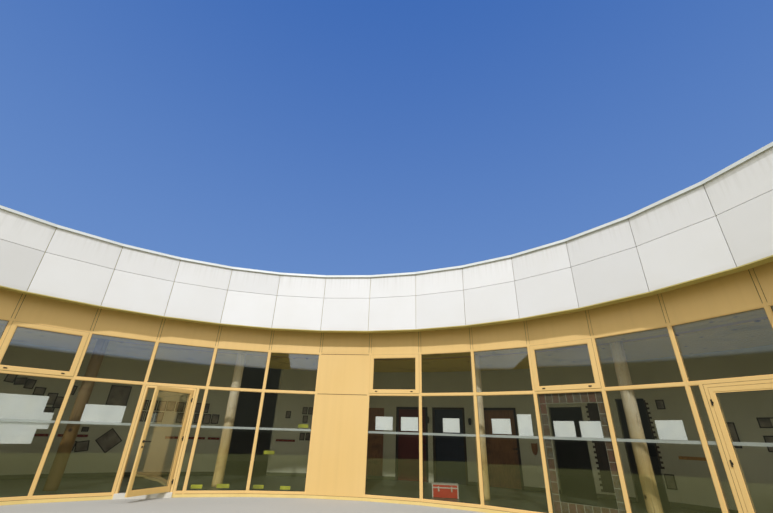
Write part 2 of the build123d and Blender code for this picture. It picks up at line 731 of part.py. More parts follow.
def build_glazing(doors):
    """Posts, bars, panes and panels of the courtyard wall."""
    glazed = bays_of("fixed", "opening")
    opening = bays_of("opening")
    fixed_above = bays_of("fixed", "left door", "right door")
    barred = glazed + bays_of("left door", "right door")
    sides = {LEFT_DOOR_BAY: 1, RIGHT_DOOR_BAY: -1}
    sills = [rail(bay, PLINTH_TOP, SILL_TOP) for bay in glazed]
    sills += [rail(bay, PLINTH_TOP, SILL_TOP, sidelight_x(side)) for bay, side in sides.items()]
    transoms = [rail(bay, TRANSOM_BOTTOM, TRANSOM_TOP) for bay in barred]
    heads = [rail(bay, HEAD_BOTTOM, HEAD_TOP) for bay in barred]
    lower = [pane(bay, SILL_TOP, TRANSOM_BOTTOM) for bay in glazed]
    lower += [pane(bay, SILL_TOP, TRANSOM_BOTTOM, sidelight_x(side)) for bay, side in sides.items()]
    return {
        "mullions": ([mullion(fold) for fold in range(BAY_COUNT + 1)]
                     + [door_post(bay, side) for bay, side in sides.items()]),
        "glazing_rails": sills + transoms + heads,
        "lower_glass": lower,
        "upper_glass": [pane(bay, TRANSOM_TOP, HEAD_BOTTOM) for bay in fixed_above],
        "top_window_sashes": [sash(bay) for bay in opening],
        "top_window_glass": [sash_glass(bay) for bay in opening],
        "top_window_fittings": [part for bay in opening for part in sash_fittings(bay)],
        "solid_bay_panels": solid_panels(),
        "spandrel_panels": spandrels(),
        "courtyard_door_frames": [door.place * door.frame(FLOOR_TOP) for door in doors],
        "door_thresholds": door_thresholds(doors),
        "plinth_flashing": plinth_strips(doors),
    }


def build_structure():
    """Floor, roof, walls, columns and ceilings."""
    stretches, lintels = corridor_wall()
    beam_near = COLUMN_OFFSET - BEAM_WIDTH / 2
    beam_far = COLUMN_OFFSET + BEAM_WIDTH / 2
    ceiling_top = HEAD_TOP + CEILING_THICKNESS
    piers, aprons, frames, panes = outer_pieces()
    return {
        "floor_slab": [ring(FRAME_DEPTH, OUTER_INSIDE, 0, FLOOR_TOP)],
        "roof_deck": [ring(CARRIER_BACK, OUTER_INSIDE, ROOF_UNDERSIDE, ROOF_TOP)],
        "timber_columns": timber_columns(),
        "timber_ring_beam": [ring(beam_near, beam_far, HEAD_TOP, ROOF_UNDERSIDE)],
        "corridor_ceilings": [ring(FRAME_DEPTH, beam_near, HEAD_TOP, ceiling_top),
                              ring(beam_far, CORRIDOR_FACE, HEAD_TOP, ceiling_top,
                                   far_folds=WALL_FOLDS)],
        "corridor_wall": stretches,
        "corridor_wall_lintels": lintels,
        "stone_border": [stone_border()],
        "party_walls": [party_wall(0), party_wall(BAY_COUNT)],
        "outer_wall_piers": piers,
        "outer_wall_aprons": aprons,
        "outer_wall_parapet": [ring(OUTER_INSIDE, OUTER_FACE, HEAD_TOP, WALL_TOP)],
        "outer_window_frames": frames,
        "outer_window_glass": panes,
    }


def build_fascia():
    """White fascias and their caps."""
    outer_cap = cap(OUTER_INSIDE, OUTER_FACE + FASCIA_PANEL)
    return {
        "fascia_carrier": [ring(CARRIER_FRONT, CARRIER_BACK, FASCIA_BOTTOM, WALL_TOP)],
        "fascia_panels": fascia_panels(FASCIA_FRONT),
        "fascia_cap": [cap(FASCIA_FRONT, CARRIER_BACK, FASCIA_CAP_OVERHANG)],
        "outer_fascia_panels": fascia_panels(OUTER_FACE),
        "wall_cap": [outer_cap + party_cap(0) + party_cap(BAY_COUNT)],
    }


def build_doors(doors):
    """Leaves, glass, handles and hinges of the courtyard doors."""
    pieces = {}
    fixed_hinges = []
    for name, door, angle in doors:
        fixed, moving = door.hinges()
        fixed_hinges += [door.place * part for part in fixed]
        handles = door.handle(0, -1) + door.handle(door.leaf_depth, 1)
        pieces[name + "_leaf"] = [door.swing(glazed_leaf(door), angle)]
        pieces[name + "_glass"] = [door.swing(leaf_glass(door), angle)]
        pieces[name + "_fittings"] = [door.swing(part, angle) for part in handles + moving]
    return pieces, fixed_hinges


def build_room_doors(doors):
    """Frames, leaves, handles and hinges of the corridor doors."""
    pieces = {}
    frames = []
    fixed_hinges = []
    for name, door in doors:
        fixed, moving = door.hinges()
        fixed_hinges += [door.place * part for part in fixed]
        handles = door.handle(0, -1) + door.handle(door.leaf_depth, 1)
        frames.append(door.place * room_door_frame(door))
        pieces[name + "_leaf"] = [door.swing(solid_leaf(door), 0)]
        pieces[name + "_fittings"] = [door.swing(part, 0) for part in handles + moving]
    pieces["room_door_frames"] = frames
    return pieces, fixed_hinges


LEFT_DOOR = courtyard_door(LEFT_DOOR_BAY, 1)
RIGHT_DOOR = courtyard_door(RIGHT_DOOR_BAY, -1)
COURTYARD_DOORS = [("left_door", LEFT_DOOR, LEFT_DOOR_AJAR_ANGLE), ("right_door", RIGHT_DOOR, 0.0)]
ROOM_DOORS = [("red_door", room_door(RED_DOOR_ANGLE)), ("navy_door", room_door(NAVY_DOOR_ANGLE)),
              ("wood_door", room_door(WOOD_DOOR_ANGLE))]


def build_all():
    """Every node of the wing, by name."""
    pieces = {}
    pieces.update(build_glazing([LEFT_DOOR, RIGHT_DOOR]))
    pieces.update(build_structure())
    pieces.update(build_fascia())
    courtyard_pieces, courtyard_hinges = build_doors(COURTYARD_DOORS)
    room_pieces, room_hinges = build_room_doors(ROOM_DOORS)
    pieces.update(courtyard_pieces)
    pieces.update(room_pieces)
    pieces["door_hinges"] = courtyard_hinges + room_hinges
    return pieces


os.makedirs("parts", exist_ok=True)
for node, solids in build_all().items():
    export_step(Compound(children=solids) if len(solids) > 1 else solids[0],
                os.path.join("parts", node + ".step"))
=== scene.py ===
"""Finishes, trims, window sheets, lights and camera for the curved wing of a school building."""
from math import cos, pi, radians, sin, tan

import bpy
from mathutils import Matrix, Vector


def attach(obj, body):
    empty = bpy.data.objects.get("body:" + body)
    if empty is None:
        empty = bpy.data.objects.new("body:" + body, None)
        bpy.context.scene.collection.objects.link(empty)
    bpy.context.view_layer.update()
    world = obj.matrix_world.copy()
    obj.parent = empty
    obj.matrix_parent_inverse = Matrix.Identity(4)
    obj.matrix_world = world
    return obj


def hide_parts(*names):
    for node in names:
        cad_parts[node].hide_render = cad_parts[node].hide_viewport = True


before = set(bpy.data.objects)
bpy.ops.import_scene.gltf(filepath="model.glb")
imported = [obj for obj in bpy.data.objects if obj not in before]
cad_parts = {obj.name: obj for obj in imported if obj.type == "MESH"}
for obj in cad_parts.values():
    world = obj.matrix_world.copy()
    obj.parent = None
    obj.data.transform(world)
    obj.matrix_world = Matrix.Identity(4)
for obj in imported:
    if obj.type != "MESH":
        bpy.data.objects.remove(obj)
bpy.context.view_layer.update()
bpy.ops.object.select_all(action="DESELECT")


# --- Gold posts, rails, sashes, leaves and panels ----------------------------
# Extruded aluminium bars and folded sheet, powder coated in one satin sand-gold batch.
# The coat chalks in the sun, rain leaves faint streaks, and the arrises rub paler.
BAY_ANGLE = radians(9.6245)
BAYS = 14
GLAZING_RADIUS = 8.0178
COURTYARD_CENTRE = Vector((0, -10.274088, 0))
FASCIA_JOINT = 4.764


def paint(red, green, blue):
    """Colour of a paint chip read in eight-bit steps."""
    def straight(step):
        share = step / 255
        return share / 12.92 if share < 0.04045 else ((share + 0.055) / 1.055) ** 2.4
    return (straight(red), straight(green), straight(blue), 1)


def add_node(tree, kind, inputs=None, **options):
    """Shader node whose inputs are linked where they are given as sockets."""
    made = tree.nodes.new("ShaderNode" + kind)
    for name, value in options.items():
        setattr(made, name, value)
    for name, value in (inputs or {}).items():
        if isinstance(value, bpy.types.NodeSocket):
            tree.links.new(value, made.inputs[name])
        else:
            made.inputs[name].default_value = value
    return made


def worked(tree, operation, *values):
    """Result of one sum on shader values."""
    return add_node(tree, "Math", dict(enumerate(values)), operation=operation).outputs[0]


def stretched(tree, value, low, high, to_low=0.0, to_high=1.0):
    """Value moved from one range to another, and held at its ends."""
    return add_node(tree, "MapRange", {"Value": value, "From Min": low, "From Max": high,
                                       "To Min": to_low, "To Max": to_high}).outputs[0]


def mixed(tree, share, first, second, way="MIX"):
    """Colour between two others."""
    return add_node(tree, "Mix", {0: share, 6: first, 7: second}, data_type="RGBA",
                    blend_type=way).outputs[2]


def tinted(tree, mask, strength, first, second):
    """Colour moved towards another by a share of a mask."""
    return mixed(tree, worked(tree, "MULTIPLY", mask, strength), first, second)


def reach_along(tree, place, way):
    """How far a place or direction reaches along another."""
    return add_node(tree, "VectorMath", {0: place, 1: way},
                    operation="DOT_PRODUCT").outputs["Value"]


def noise(tree, place, size, detail=3.0, roughness=0.5):
    """Soft noise on a place, with marks of a size in metres."""
    return add_node(tree, "TexNoise", {"Vector": place, "Scale": 1 / size, "Detail": detail,
                                       "Roughness": roughness}).outputs[0]


def object_place(tree):
    """Object coordinates."""
    return add_node(tree, "TexCoord").outputs["Object"]


def new_group(name, inputs, outputs):
    """Empty node group with its sockets, and its two end nodes."""
    group = bpy.data.node_groups.new(name, "ShaderNodeTree")
    for label, value in inputs.items():
        socket = group.interface.new_socket(label, in_out="INPUT", socket_type="NodeSocketFloat")
        socket.default_value = value
    for label in outputs:
        group.interface.new_socket(label, in_out="OUTPUT", socket_type="NodeSocketFloat")
    return group, group.nodes.new("NodeGroupInput"), group.nodes.new("NodeGroupOutput")


def place_group(tree, group, **values):
    """Node group set into a material with its own values."""
    made = tree.nodes.new("ShaderNodeGroup")
    made.node_tree = group
    for label, value in values.items():
        made.inputs[label.replace("_", " ")].default_value = value
    return made.outputs


def new_finish(name, roughness, metallic=0.0):
    """Material with its shader at hand."""
    material = bpy.data.materials.new(name)
    material.use_nodes = True
    shader = material.node_tree.nodes["Principled BSDF"]
    shader.inputs["Roughness"].default_value = roughness
    shader.inputs["Metallic"].default_value = metallic
    return material, material.node_tree, shader


def set_colour(tree, shader, colour):
    """Base colour from what has been mixed."""
    tree.links.new(colour, shader.inputs["Base Color"])


def set_bump(tree, shader, height, distance, strength=1.0):
    """Bump from a height, in metres."""
    bump = add_node(tree, "Bump", {"Height": height, "Distance": distance, "Strength": strength})
    tree.links.new(bump.outputs[0], shader.inputs["Normal"])


def dress(material, *nodes):
    """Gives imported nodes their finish."""
    for name in nodes:
        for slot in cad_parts[name].material_slots:
            slot.material = material


def bay_counter():
    """Group: which bay a point lies in, its radius and its level."""
    group, _, ends = new_group("bay_counter", {}, ("Bay", "Radius", "Level"))
    split = add_node(group, "SeparateXYZ", {0: object_place(group)}).outputs
    outwards = worked(group, "SUBTRACT", split[1], COURTYARD_CENTRE.y)
    turn = worked(group, "ARCTAN2", split[0], outwards)
    position = worked(group, "MULTIPLY_ADD", turn, 1 / BAY_ANGLE, BAYS / 2)
    radius = worked(group, "SQRT", worked(group, "ADD", worked(group, "POWER", split[0], 2.0),
                                          worked(group, "POWER", outwards, 2.0)))
    for label, value in (("Bay", worked(group, "FLOOR", position)), ("Radius", radius),
                         ("Level", split[2])):
        group.links.new(value, ends.inputs[label])
    return group


def weather():
    """Group: streaks that run down, soft blotches and fine speckle."""
    group, starts, ends = new_group("weather", {"Streak Width": 0.05, "Blotch Size": 0.6},
                                    ("Streaks", "Blotches", "Speckle"))
    place = object_place(group)
    across = worked(group, "DIVIDE", 1.0, starts.outputs["Streak Width"])
    down = worked(group, "MULTIPLY", across, 0.035)
    scale = add_node(group, "CombineXYZ", {0: across, 1: across, 2: down}).outputs[0]
    drawn = add_node(group, "VectorMath", {0: place, 1: scale}, operation="MULTIPLY").outputs[0]
    run = add_node(group, "TexNoise", {"Vector": drawn, "Scale": 1.0, "Detail": 4.0})
    group.links.new(stretched(group, run.outputs[0], 0.45, 0.75), ends.inputs["Streaks"])
    size = worked(group, "DIVIDE", 1.0, starts.outputs["Blotch Size"])
    blotch = add_node(group, "TexNoise", {"Vector": place, "Scale": size, "Detail": 5.0})
    group.links.new(stretched(group, blotch.outputs[0], 0.3, 0.7), ends.inputs["Blotches"])
    speck = add_node(group, "TexNoise", {"Vector": place, "Scale": 260.0, "Detail": 2.0})
    group.links.new(stretched(group, speck.outputs[0], 0.5, 0.8), ends.inputs["Speckle"])
    return group


def rubbed_edges():
    """Group: a mask along the edges that hands and rain rub."""
    group, starts, ends = new_group("rubbed_edges", {"Width": 0.003}, ("Rub",))
    softened = add_node(group, "Bevel", {"Radius": starts.outputs["Width"]}, samples=4)
    facing = add_node(group, "NewGeometry").outputs["True Normal"]
    match = reach_along(group, softened.outputs[0], facing)
    group.links.new(stretched(group, match, 0.98, 0.75), ends.inputs["Rub"])
    return group


bays = bay_counter()
weathering = weather()
rubbing = rubbed_edges()


def own_shade(tree, counted, seed):
    """One random value for each bay, in two rows split at the joint of the fascia."""
    row = worked(tree, "GREATER_THAN", counted["Level"], FASCIA_JOINT)
    place = add_node(tree, "CombineXYZ", {0: counted["Bay"], 1: row, 2: seed}).outputs[0]
    return add_node(tree, "TexWhiteNoise", {"Vector": place}).outputs[0]


def gold_finish(name, colour, pale, worn):
    """Powder coat in a colour, with a paler one where it chalks and where edges rub."""
    material, tree, shader = new_finish(name, 0.42)
    marks = place_group(tree, weathering, Streak_Width=0.12, Blotch_Size=1.3)
    edges = place_group(tree, rubbing, Width=0.004)
    chalky = tinted(tree, marks["Blotches"], 0.3, colour, pale)
    streaked = tinted(tree, marks["Streaks"], 0.05, chalky, paint(150, 118, 66))
    shade = own_shade(tree, place_group(tree, bays), 3.0)
    tone = stretched(tree, shade, 0.0, 1.0, 0.97, 1.02)
    grey = add_node(tree, "CombineColor", {0: tone, 1: tone, 2: tone}).outputs[0]
    batch = mixed(tree, 1.0, streaked, grey, "MULTIPLY")
    set_colour(tree, shader, tinted(tree, edges["Rub"], 0.45, batch, worn))
    tree.links.new(stretched(tree, marks["Blotches"], 0.0, 1.0, 0.36, 0.5),
                   shader.inputs["Roughness"])
    set_bump(tree, shader, noise(tree, object_place(tree), 0.0035, 1.0), 0.00012)
    return material


gold_coat = gold_finish("gold_coat", paint(238, 199, 129), paint(242, 207, 143),
                        paint(240, 216, 164))
dress(gold_coat, "mullions", "glazing_rails", "top_window_sashes", "courtyard_door_frames",
      "left_door_leaf", "right_door_leaf", "outer_window_frames", "solid_bay_panels",
      "spandrel_panels")


# --- White fascia panels -----------------------------------------------------
# Two rows of warm white composite panels, one panel to a bay, hung on a hidden carrier.
# Each has a shade of its own, dust in its speckled coat, and dirt washed down from the cap.
PANEL_FOOT, PANEL_TOP = 3.838, 5.4


def fascia_finish():
    """Warm white panel coat with a shade to each panel."""
    material, tree, shader = new_finish("fascia_coat", 0.5)
    counted = place_group(tree, bays)
    marks = place_group(tree, weathering, Streak_Width=0.06, Blotch_Size=0.9)
    shade = own_shade(tree, counted, 7.0)
    panel = mixed(tree, shade, paint(226, 226, 230), paint(238, 238, 242))
    below_cap = stretched(tree, counted["Level"], PANEL_TOP - 0.5, PANEL_TOP, 0.0, 0.3)
    dirty = tinted(tree, marks["Streaks"], below_cap, panel, paint(168, 164, 154))
    dusty = tinted(tree, marks["Blotches"], 0.12, dirty, paint(206, 200, 188))
    near_foot = stretched(tree, counted["Level"], PANEL_FOOT + 0.112, PANEL_FOOT + 0.002, 0.0, 0.3)
    foot = tinted(tree, near_foot, marks["Blotches"], dusty, paint(186, 178, 160))
    set_colour(tree, shader, foot)
    set_bump(tree, shader, noise(tree, object_place(tree), 0.004, 2.0), 0.0001)
    return material


fascia_coat = fascia_finish()
dress(fascia_coat, "fascia_panels", "outer_fascia_panels")


# --- Fascia carrier and caps -------------------------------------------------
# The carrier is an olive boxed frame that shows only as the return under the panels, and the
# plinth flashing a pale gold one. The caps are folded aluminium sheet, dull with water marks.
def dull_metal(name, colour, marked, roughness, metallic):
    """Sheet metal with water marks."""
    material, tree, shader = new_finish(name, roughness, metallic)
    marks = place_group(tree, weathering, Streak_Width=0.08, Blotch_Size=0.35)
    set_colour(tree, shader, tinted(tree, marks["Blotches"], 0.6, colour, marked))
    tree.links.new(stretched(tree, marks["Blotches"], 0.0, 1.0, roughness - 0.08, roughness + 0.12),
                   shader.inputs["Roughness"])
    set_bump(tree, shader, noise(tree, object_place(tree), 0.012, 2.0), 0.0002)
    return material


cap_metal = dull_metal("cap_metal", paint(236, 240, 242), paint(216, 220, 220), 0.45, 0.1)
carrier_coat = dull_metal("carrier_coat", paint(204, 190, 122), paint(182, 168, 104), 0.6, 0.0)
plinth_metal = dull_metal("plinth_metal", paint(242, 214, 142), paint(226, 196, 122), 0.5, 0.0)
dark_metal = dull_metal("dark_metal", paint(46, 44, 42), paint(70, 66, 60), 0.38, 0.5)
dress(cap_metal, "fascia_cap", "wall_cap")
dress(carrier_coat, "fascia_carrier")
dress(plinth_metal, "plinth_flashing")
dress(dark_metal, "door_hinges", "left_door_fittings", "right_door_fittings", "red_door_fittings",
      "navy_door_fittings", "wood_door_fittings", "top_window_fittings")


# --- Glass -------------------------------------------------------------------
# Sealed double units in clear glass with a faint green body, held by beads and gaskets.
# They mirror more as they are seen at a slant, and carry a light film of dust and wipe marks.
def pulled(tree, place, scale):
    """Coordinates scaled apart along each axis."""
    return add_node(tree, "Mapping", {"Vector": place, "Scale": scale}).outputs[0]


def glass_finish(name, tint, face_on):
    """Flat pane that shows what is behind it and mirrors what is before it."""
    material, tree, mirror = new_finish(name, 0.02, 1.0)
    place = object_place(tree)
    smear = stretched(tree, noise(tree, pulled(tree, place, (1, 1, 0.4)), 0.35, 5.0, 0.65),
                      0.35, 0.75)
    set_colour(tree, mirror, mixed(tree, smear, paint(232, 238, 236), paint(214, 220, 212)))
    slant = add_node(tree, "LayerWeight", {"Blend": 0.5}).outputs["Facing"]
    rise = worked(tree, "POWER", slant, 5.0)
    share = worked(tree, "MULTIPLY_ADD", rise, 1 - face_on, face_on)
    dusted = worked(tree, "MULTIPLY_ADD", smear, 0.02, share)
    clear = add_node(tree, "BsdfTransparent", {"Color": tint})
    both = add_node(tree, "MixShader", {0: dusted, 1: clear.outputs[0], 2: mirror.outputs[0]})
    tree.links.new(both.outputs[0], tree.nodes["Material Output"].inputs["Surface"])
    return material


courtyard_glass = glass_finish("courtyard_glass", (0.95, 0.955, 0.94, 1), 0.125)
dress(courtyard_glass, "lower_glass", "upper_glass", "top_window_glass", "left_door_glass",
      "right_door_glass")
# The outer panes are tinted dark so that the rooms behind them stay in shade.
outer_glass = glass_finish("outer_glass", (0.3, 0.33, 0.32, 1), 0.07)
dress(outer_glass, "outer_window_glass")


# --- Timber columns ----------------------------------------------------------
# Peeled round trunks, pale and oiled, standing on the floor under the ring beam.
# The grain runs up them, with knots, dark rings round the knots and fine drying cracks.
def timber_finish(name, pale, ruddy, dark, low_sunlight=(1, 1, 1, 1), left_end_tone=(1, 1, 1, 1)):
    """Softwood with grain up the piece, golden near the floor where sunlight is painted on, and
    darker at one end.
    """
    material, tree, shader = new_finish(name, 0.55)
    place = object_place(tree)
    grain = noise(tree, pulled(tree, place, (1, 1, 0.06)), 0.012, 4.0, 0.6)
    bands = noise(tree, pulled(tree, place, (0.35, 0.35, 1)), 0.3, 3.0)
    wood = mixed(tree, stretched(tree, grain, 0.35, 0.65), pale, ruddy)
    ringed = mixed(tree, stretched(tree, bands, 0.56, 0.72, 0.0, 0.65), wood, dark)
    knots = add_node(tree, "TexVoronoi", {"Vector": place, "Scale": 2.6},
                     feature="F1").outputs["Distance"]
    knotted = mixed(tree, stretched(tree, knots, 0.14, 0.05), ringed, paint(92, 58, 30))
    cracks = stretched(tree, noise(tree, pulled(tree, place, (1, 1, 0.02)), 0.02, 2.0), 0.64, 0.68)
    cracked = tinted(tree, cracks, 0.6, knotted, paint(80, 60, 40))
    split = add_node(tree, "SeparateXYZ", {0: place}).outputs
    # Painted sunlight: the colour is multiplied towards a golden tint from about 2.1 m down to the
    # floor.
    sunlit_low = mixed(tree, stretched(tree, split[2], 2.1, 0.9, 0.0, 0.85), cracked, low_sunlight, "MULTIPLY")
    # The trunk left of x = -5.2 m is made darker brown.
    left_end_darkened = mixed(tree, stretched(tree, split[0], -5.2, -5.8), sunlit_low, left_end_tone, "MULTIPLY")
    set_colour(tree, shader, left_end_darkened)
    set_bump(tree, shader, worked(tree, "SUBTRACT", grain, cracks), 0.002, 0.6)
    return material


# The fourth colour is the painted sunlight on the lower trunks.
peeled_timber = timber_finish("peeled_timber", paint(255, 246, 222), paint(242, 220, 176),
                              paint(176, 134, 76), (0.77, 0.62, 0.26, 1),
                              (0.32, 0.25, 0.15, 1))
beam_timber = timber_finish("beam_timber", paint(206, 176, 122), paint(180, 144, 90),
                            paint(120, 88, 48))
dress(peeled_timber, "timber_columns")
dress(beam_timber, "timber_ring_beam")


# --- Corridor walls, ceilings and floor --------------------------------------
# Plastered walls in a scuffed grey-green emulsion, varnished ceiling boards that run round
# the wing, and a concrete floor slab with its fair face left showing at the edges.
def wall_finish(name, colour, scuffed, roughness=0.7, grain=0.006, depth=0.0004):
    """Brushed coat on plaster, render or concrete."""
    material, tree, shader = new_finish(name, roughness)
    marks = place_group(tree, weathering, Streak_Width=0.2, Blotch_Size=1.1)
    cloudy = tinted(tree, marks["Blotches"], 0.5, colour, scuffed)
    set_colour(tree, shader, tinted(tree, marks["Speckle"], 0.25, cloudy, scuffed))
    set_bump(tree, shader, noise(tree, object_place(tree), grain, 4.0, 0.6), depth)
    return material


corridor_paint = wall_finish("corridor_paint", paint(200, 200, 176), paint(186, 186, 160))
dress(corridor_paint, "corridor_wall", "corridor_wall_lintels")
board_varnish = timber_finish("board_varnish", paint(232, 206, 96), paint(208, 178, 70),
                              paint(156, 130, 44))
dress(board_varnish, "corridor_ceilings")
concrete = wall_finish("concrete", paint(196, 192, 182), paint(166, 160, 148), 0.85, 0.012, 0.001)
dress(concrete, "floor_slab")
threshold_concrete = wall_finish("threshold_concrete", paint(226, 222, 214), paint(206, 200, 188),
                                 0.8, 0.006, 0.0006)
dress(threshold_concrete, "door_thresholds")
outer_render = wall_finish("outer_render", paint(214, 208, 192), paint(186, 178, 160), 0.85,
                           0.005, 0.0008)
dress(outer_render, "outer_wall_piers", "outer_wall_aprons", "party_walls", "outer_wall_parapet")


# --- Roof --------------------------------------------------------------------
# Mineral felt laid in rolls from parapet to parapet, with lapped and sealed joints.
# Its grit wears off in patches, and the laps weather darker.
def felt_finish():
    """Grey mineral felt with a lap at each roll."""
    material, tree, shader = new_finish("roof_felt_finish", 0.9)
    counted = place_group(tree, bays)
    marks = place_group(tree, weathering, Streak_Width=0.3, Blotch_Size=1.4)
    grit = noise(tree, object_place(tree), 0.006, 3.0)
    felt = mixed(tree, marks["Blotches"], paint(112, 114, 116), paint(140, 140, 136))
    gritty = mixed(tree, stretched(tree, grit, 0.4, 0.7, 0.0, 0.5), felt, paint(84, 84, 84))
    lap = worked(tree, "LESS_THAN", worked(tree, "FRACT", counted["Radius"]), 0.06)
    set_colour(tree, shader, tinted(tree, lap, 0.5, gritty, paint(70, 70, 72)))
    set_bump(tree, shader, worked(tree, "MULTIPLY_ADD", lap, 2.0, grit), 0.002)
    return material


roof_felt_finish = felt_finish()
dress(roof_felt_finish, "roof_deck")


# --- Corridor doors ----------------------------------------------------------
# Flush leaves in dark painted frames: one red, one navy and one in brown veneer.
# Hands have rubbed the gloss paint paler along the edges.
def door_coat(name, colour, worn):
    """Gloss paint on a flush leaf, rubbed at its edges."""
    material, tree, shader = new_finish(name, 0.5)
    shader.inputs["Specular IOR Level"].default_value = 0.25
    marks = place_group(tree, weathering, Streak_Width=0.05, Blotch_Size=0.4)
    edges = place_group(tree, rubbing, Width=0.006)
    cloudy = tinted(tree, marks["Blotches"], 0.3, colour, worn)
    set_colour(tree, shader, tinted(tree, edges["Rub"], 0.5, cloudy, worn))
    brushed = pulled(tree, object_place(tree), (1, 1, 0.1))
    set_bump(tree, shader, noise(tree, brushed, 0.004, 2.0), 0.00015)
    return material


dress(door_coat("red_gloss", paint(94, 28, 24), paint(118, 54, 46)), "red_door_leaf")
dress(door_coat("navy_gloss", paint(26, 34, 54), paint(54, 62, 84)), "navy_door_leaf")
dress(door_coat("frame_gloss", paint(48, 36, 30), paint(80, 66, 54)), "room_door_frames")
door_veneer = timber_finish("door_veneer_finish", paint(152, 104, 58), paint(118, 76, 40),
                            paint(80, 50, 26))
dress(door_veneer, "wood_door_leaf")


# --- Frosted bands on the glass ----------------------------------------------
# Etched-look film, 50 mm high, stuck across every lower pane and door light at chest height.
# It is cut in one length to a pane, and lets a little of the corridor through.
def bay_frame(bay):
    """Frame of a bay: origin on its face, X along it, Y outwards."""
    turn = Matrix.Rotation(-(bay + 0.5 - BAYS / 2) * BAY_ANGLE, 4, "Z")
    return Matrix.Translation(COURTYARD_CENTRE) @ turn @ Matrix.Translation((0, GLAZING_RADIUS, 0))


def flat_start(name, x_range, level_range, depth):
    """Upright rectangle in a bay's frame, facing the courtyard."""
    middle = (sum(x_range) / 2, depth, sum(level_range) / 2)
    bpy.ops.mesh.primitive_plane_add(size=1, location=middle, rotation=(pi / 2, 0, 0))
    piece = bpy.context.object
    piece.name = name
    piece.data.name = name
    piece.scale = (x_range[1] - x_range[0], level_range[1] - level_range[0], 1)
    bpy.ops.object.transform_apply(location=True, rotation=True, scale=True)
    return piece


def open_mesh():
    """All of the newest piece selected in edit mode."""
    bpy.ops.object.mode_set(mode="EDIT")
    bpy.ops.mesh.select_all(action="SELECT")


def subdivide(cuts):
    """Newest piece cut up evenly."""
    open_mesh()
    bpy.ops.mesh.subdivide(number_cuts=cuts)
    bpy.ops.object.mode_set(mode="OBJECT")


def apply_modifier(piece, kind, **settings):
    """Modifier put on a piece and applied."""
    made = piece.modifiers.new(kind, kind)
    for name, value in settings.items():
        setattr(made, name, value)
    bpy.context.view_layer.objects.active = piece
    bpy.ops.object.modifier_apply(modifier=made.name)


def joined(name, pieces):
    """Pieces made one object."""
    bpy.ops.object.select_all(action="DESELECT")
    for piece in pieces:
        piece.select_set(True)
    bpy.context.view_layer.objects.active = pieces[0]
    if len(pieces) > 1:
        bpy.ops.object.join()
    whole = bpy.context.object
    whole.name = name
    whole.data.name = name
    bpy.ops.object.select_all(action="DESELECT")
    return whole


def finished(piece, material, body="building"):
    """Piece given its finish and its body."""
    piece.data.materials.clear()
    piece.data.materials.append(material)
    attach(piece, body)
    return piece


GLASS_FACE, DOOR_GLASS_FACE = 0.022, 0.013
POST_EDGE, DOOR_POST = 0.65, 0.499
FULL_BAY = (-POST_EDGE, POST_EDGE)
BAND_LEVELS = (1.405, 1.455)
FILM_LIFT, FILM_THICKNESS = 0.0006, 0.0004
LEFT_DOOR_BAY, SOLID_BAY, RIGHT_DOOR_BAY = 3, 6, 12
GLAZED_BAYS = [bay for bay in range(BAYS) if bay != SOLID_BAY]
LEFT_HINGE = Vector((0.3945, -0.009, 0))
LEFT_SWING = (Matrix.Translation(LEFT_HINGE) @ Matrix.Rotation(radians(42.5), 4, "Z")
              @ Matrix.Translation(-LEFT_HINGE))
DOOR_LIGHTS = (("left_door", (-0.518, 0.317), bay_frame(LEFT_DOOR_BAY) @ LEFT_SWING),
               ("right_door", (-0.317, 0.518), bay_frame(RIGHT_DOOR_BAY)))


def lower_pane(bay):
    """Limits of a bay's lower pane, which is a narrow sidelight beside a door."""
    sidelights = {LEFT_DOOR_BAY: (DOOR_POST, POST_EDGE), RIGHT_DOOR_BAY: (-POST_EDGE, -DOOR_POST)}
    return sidelights.get(bay, FULL_BAY)


def band(name, place, x_range, face):
    """One length of film on a pane's face."""
    piece = flat_start(name, x_range, BAND_LEVELS, face - FILM_LIFT)
    subdivide(3)
    apply_modifier(piece, "SOLIDIFY", thickness=FILM_THICKNESS, offset=0)
    piece.data.transform(place)
    return piece


def film_finish():
    """Frosted film that lets a little of the room through."""
    material, tree, shader = new_finish("frosted_film", 0.55)
    place = object_place(tree)
    grain = noise(tree, place, 0.004, 2.0)
    set_colour(tree, shader, mixed(tree, grain, paint(188, 196, 190), paint(174, 182, 176)))
    tree.links.new(stretched(tree, noise(tree, place, 0.3, 3.0), 0.3, 0.7, 0.42, 0.54),
                   shader.inputs["Alpha"])
    return material


frosted_film = film_finish()
bands = [band("band", bay_frame(bay), lower_pane(bay), GLASS_FACE) for bay in GLAZED_BAYS]
finished(joined("frosted_bands", bands), frosted_film)
for body, span, place in DOOR_LIGHTS:
    finished(band(body + "_band", place, span, DOOR_GLASS_FACE), frosted_film,
             body)


# --- Blank sheets behind the glass -------------------------------------------
# Plain paper sheets taped to the inside of the panes, with the slight curl that sun gives them.
# Each is given by its sides, in bays from the left, and by its foot and head.
SHEET_DEPTH, PAPER_THICKNESS, CURL, WAVE = 0.0515, 0.0004, (0.004, 0.003), 0.0012
SHEETS = ((1.2, 1.79, 1.02, 1.91), (1.74, 1.92, 1.29, 1.6), (2.271, 2.825, 1.407, 1.803),
          (7.157, 7.481, 1.485, 1.79), (7.637, 7.951, 1.485, 1.79), (8.4, 8.695, 1.477, 1.779),
          (9.242, 9.553, 1.477, 1.782), (9.669, 9.888, 1.452, 1.875),
          (10.209, 10.511, 1.455, 1.745), (10.584, 10.87, 1.455, 1.745),
          (11.538, 11.837, 1.459, 1.758))
STRIPS = ((4.08, 4.26, 0.158, 0.235), (4.485, 4.69, 0.168, 0.25), (5.076, 5.256, 0.158, 0.235),
          (5.538, 5.717, 0.149, 0.224), (5.725, 5.91, 1.48, 1.56), (5.17, 5.36, 0.87, 0.95))


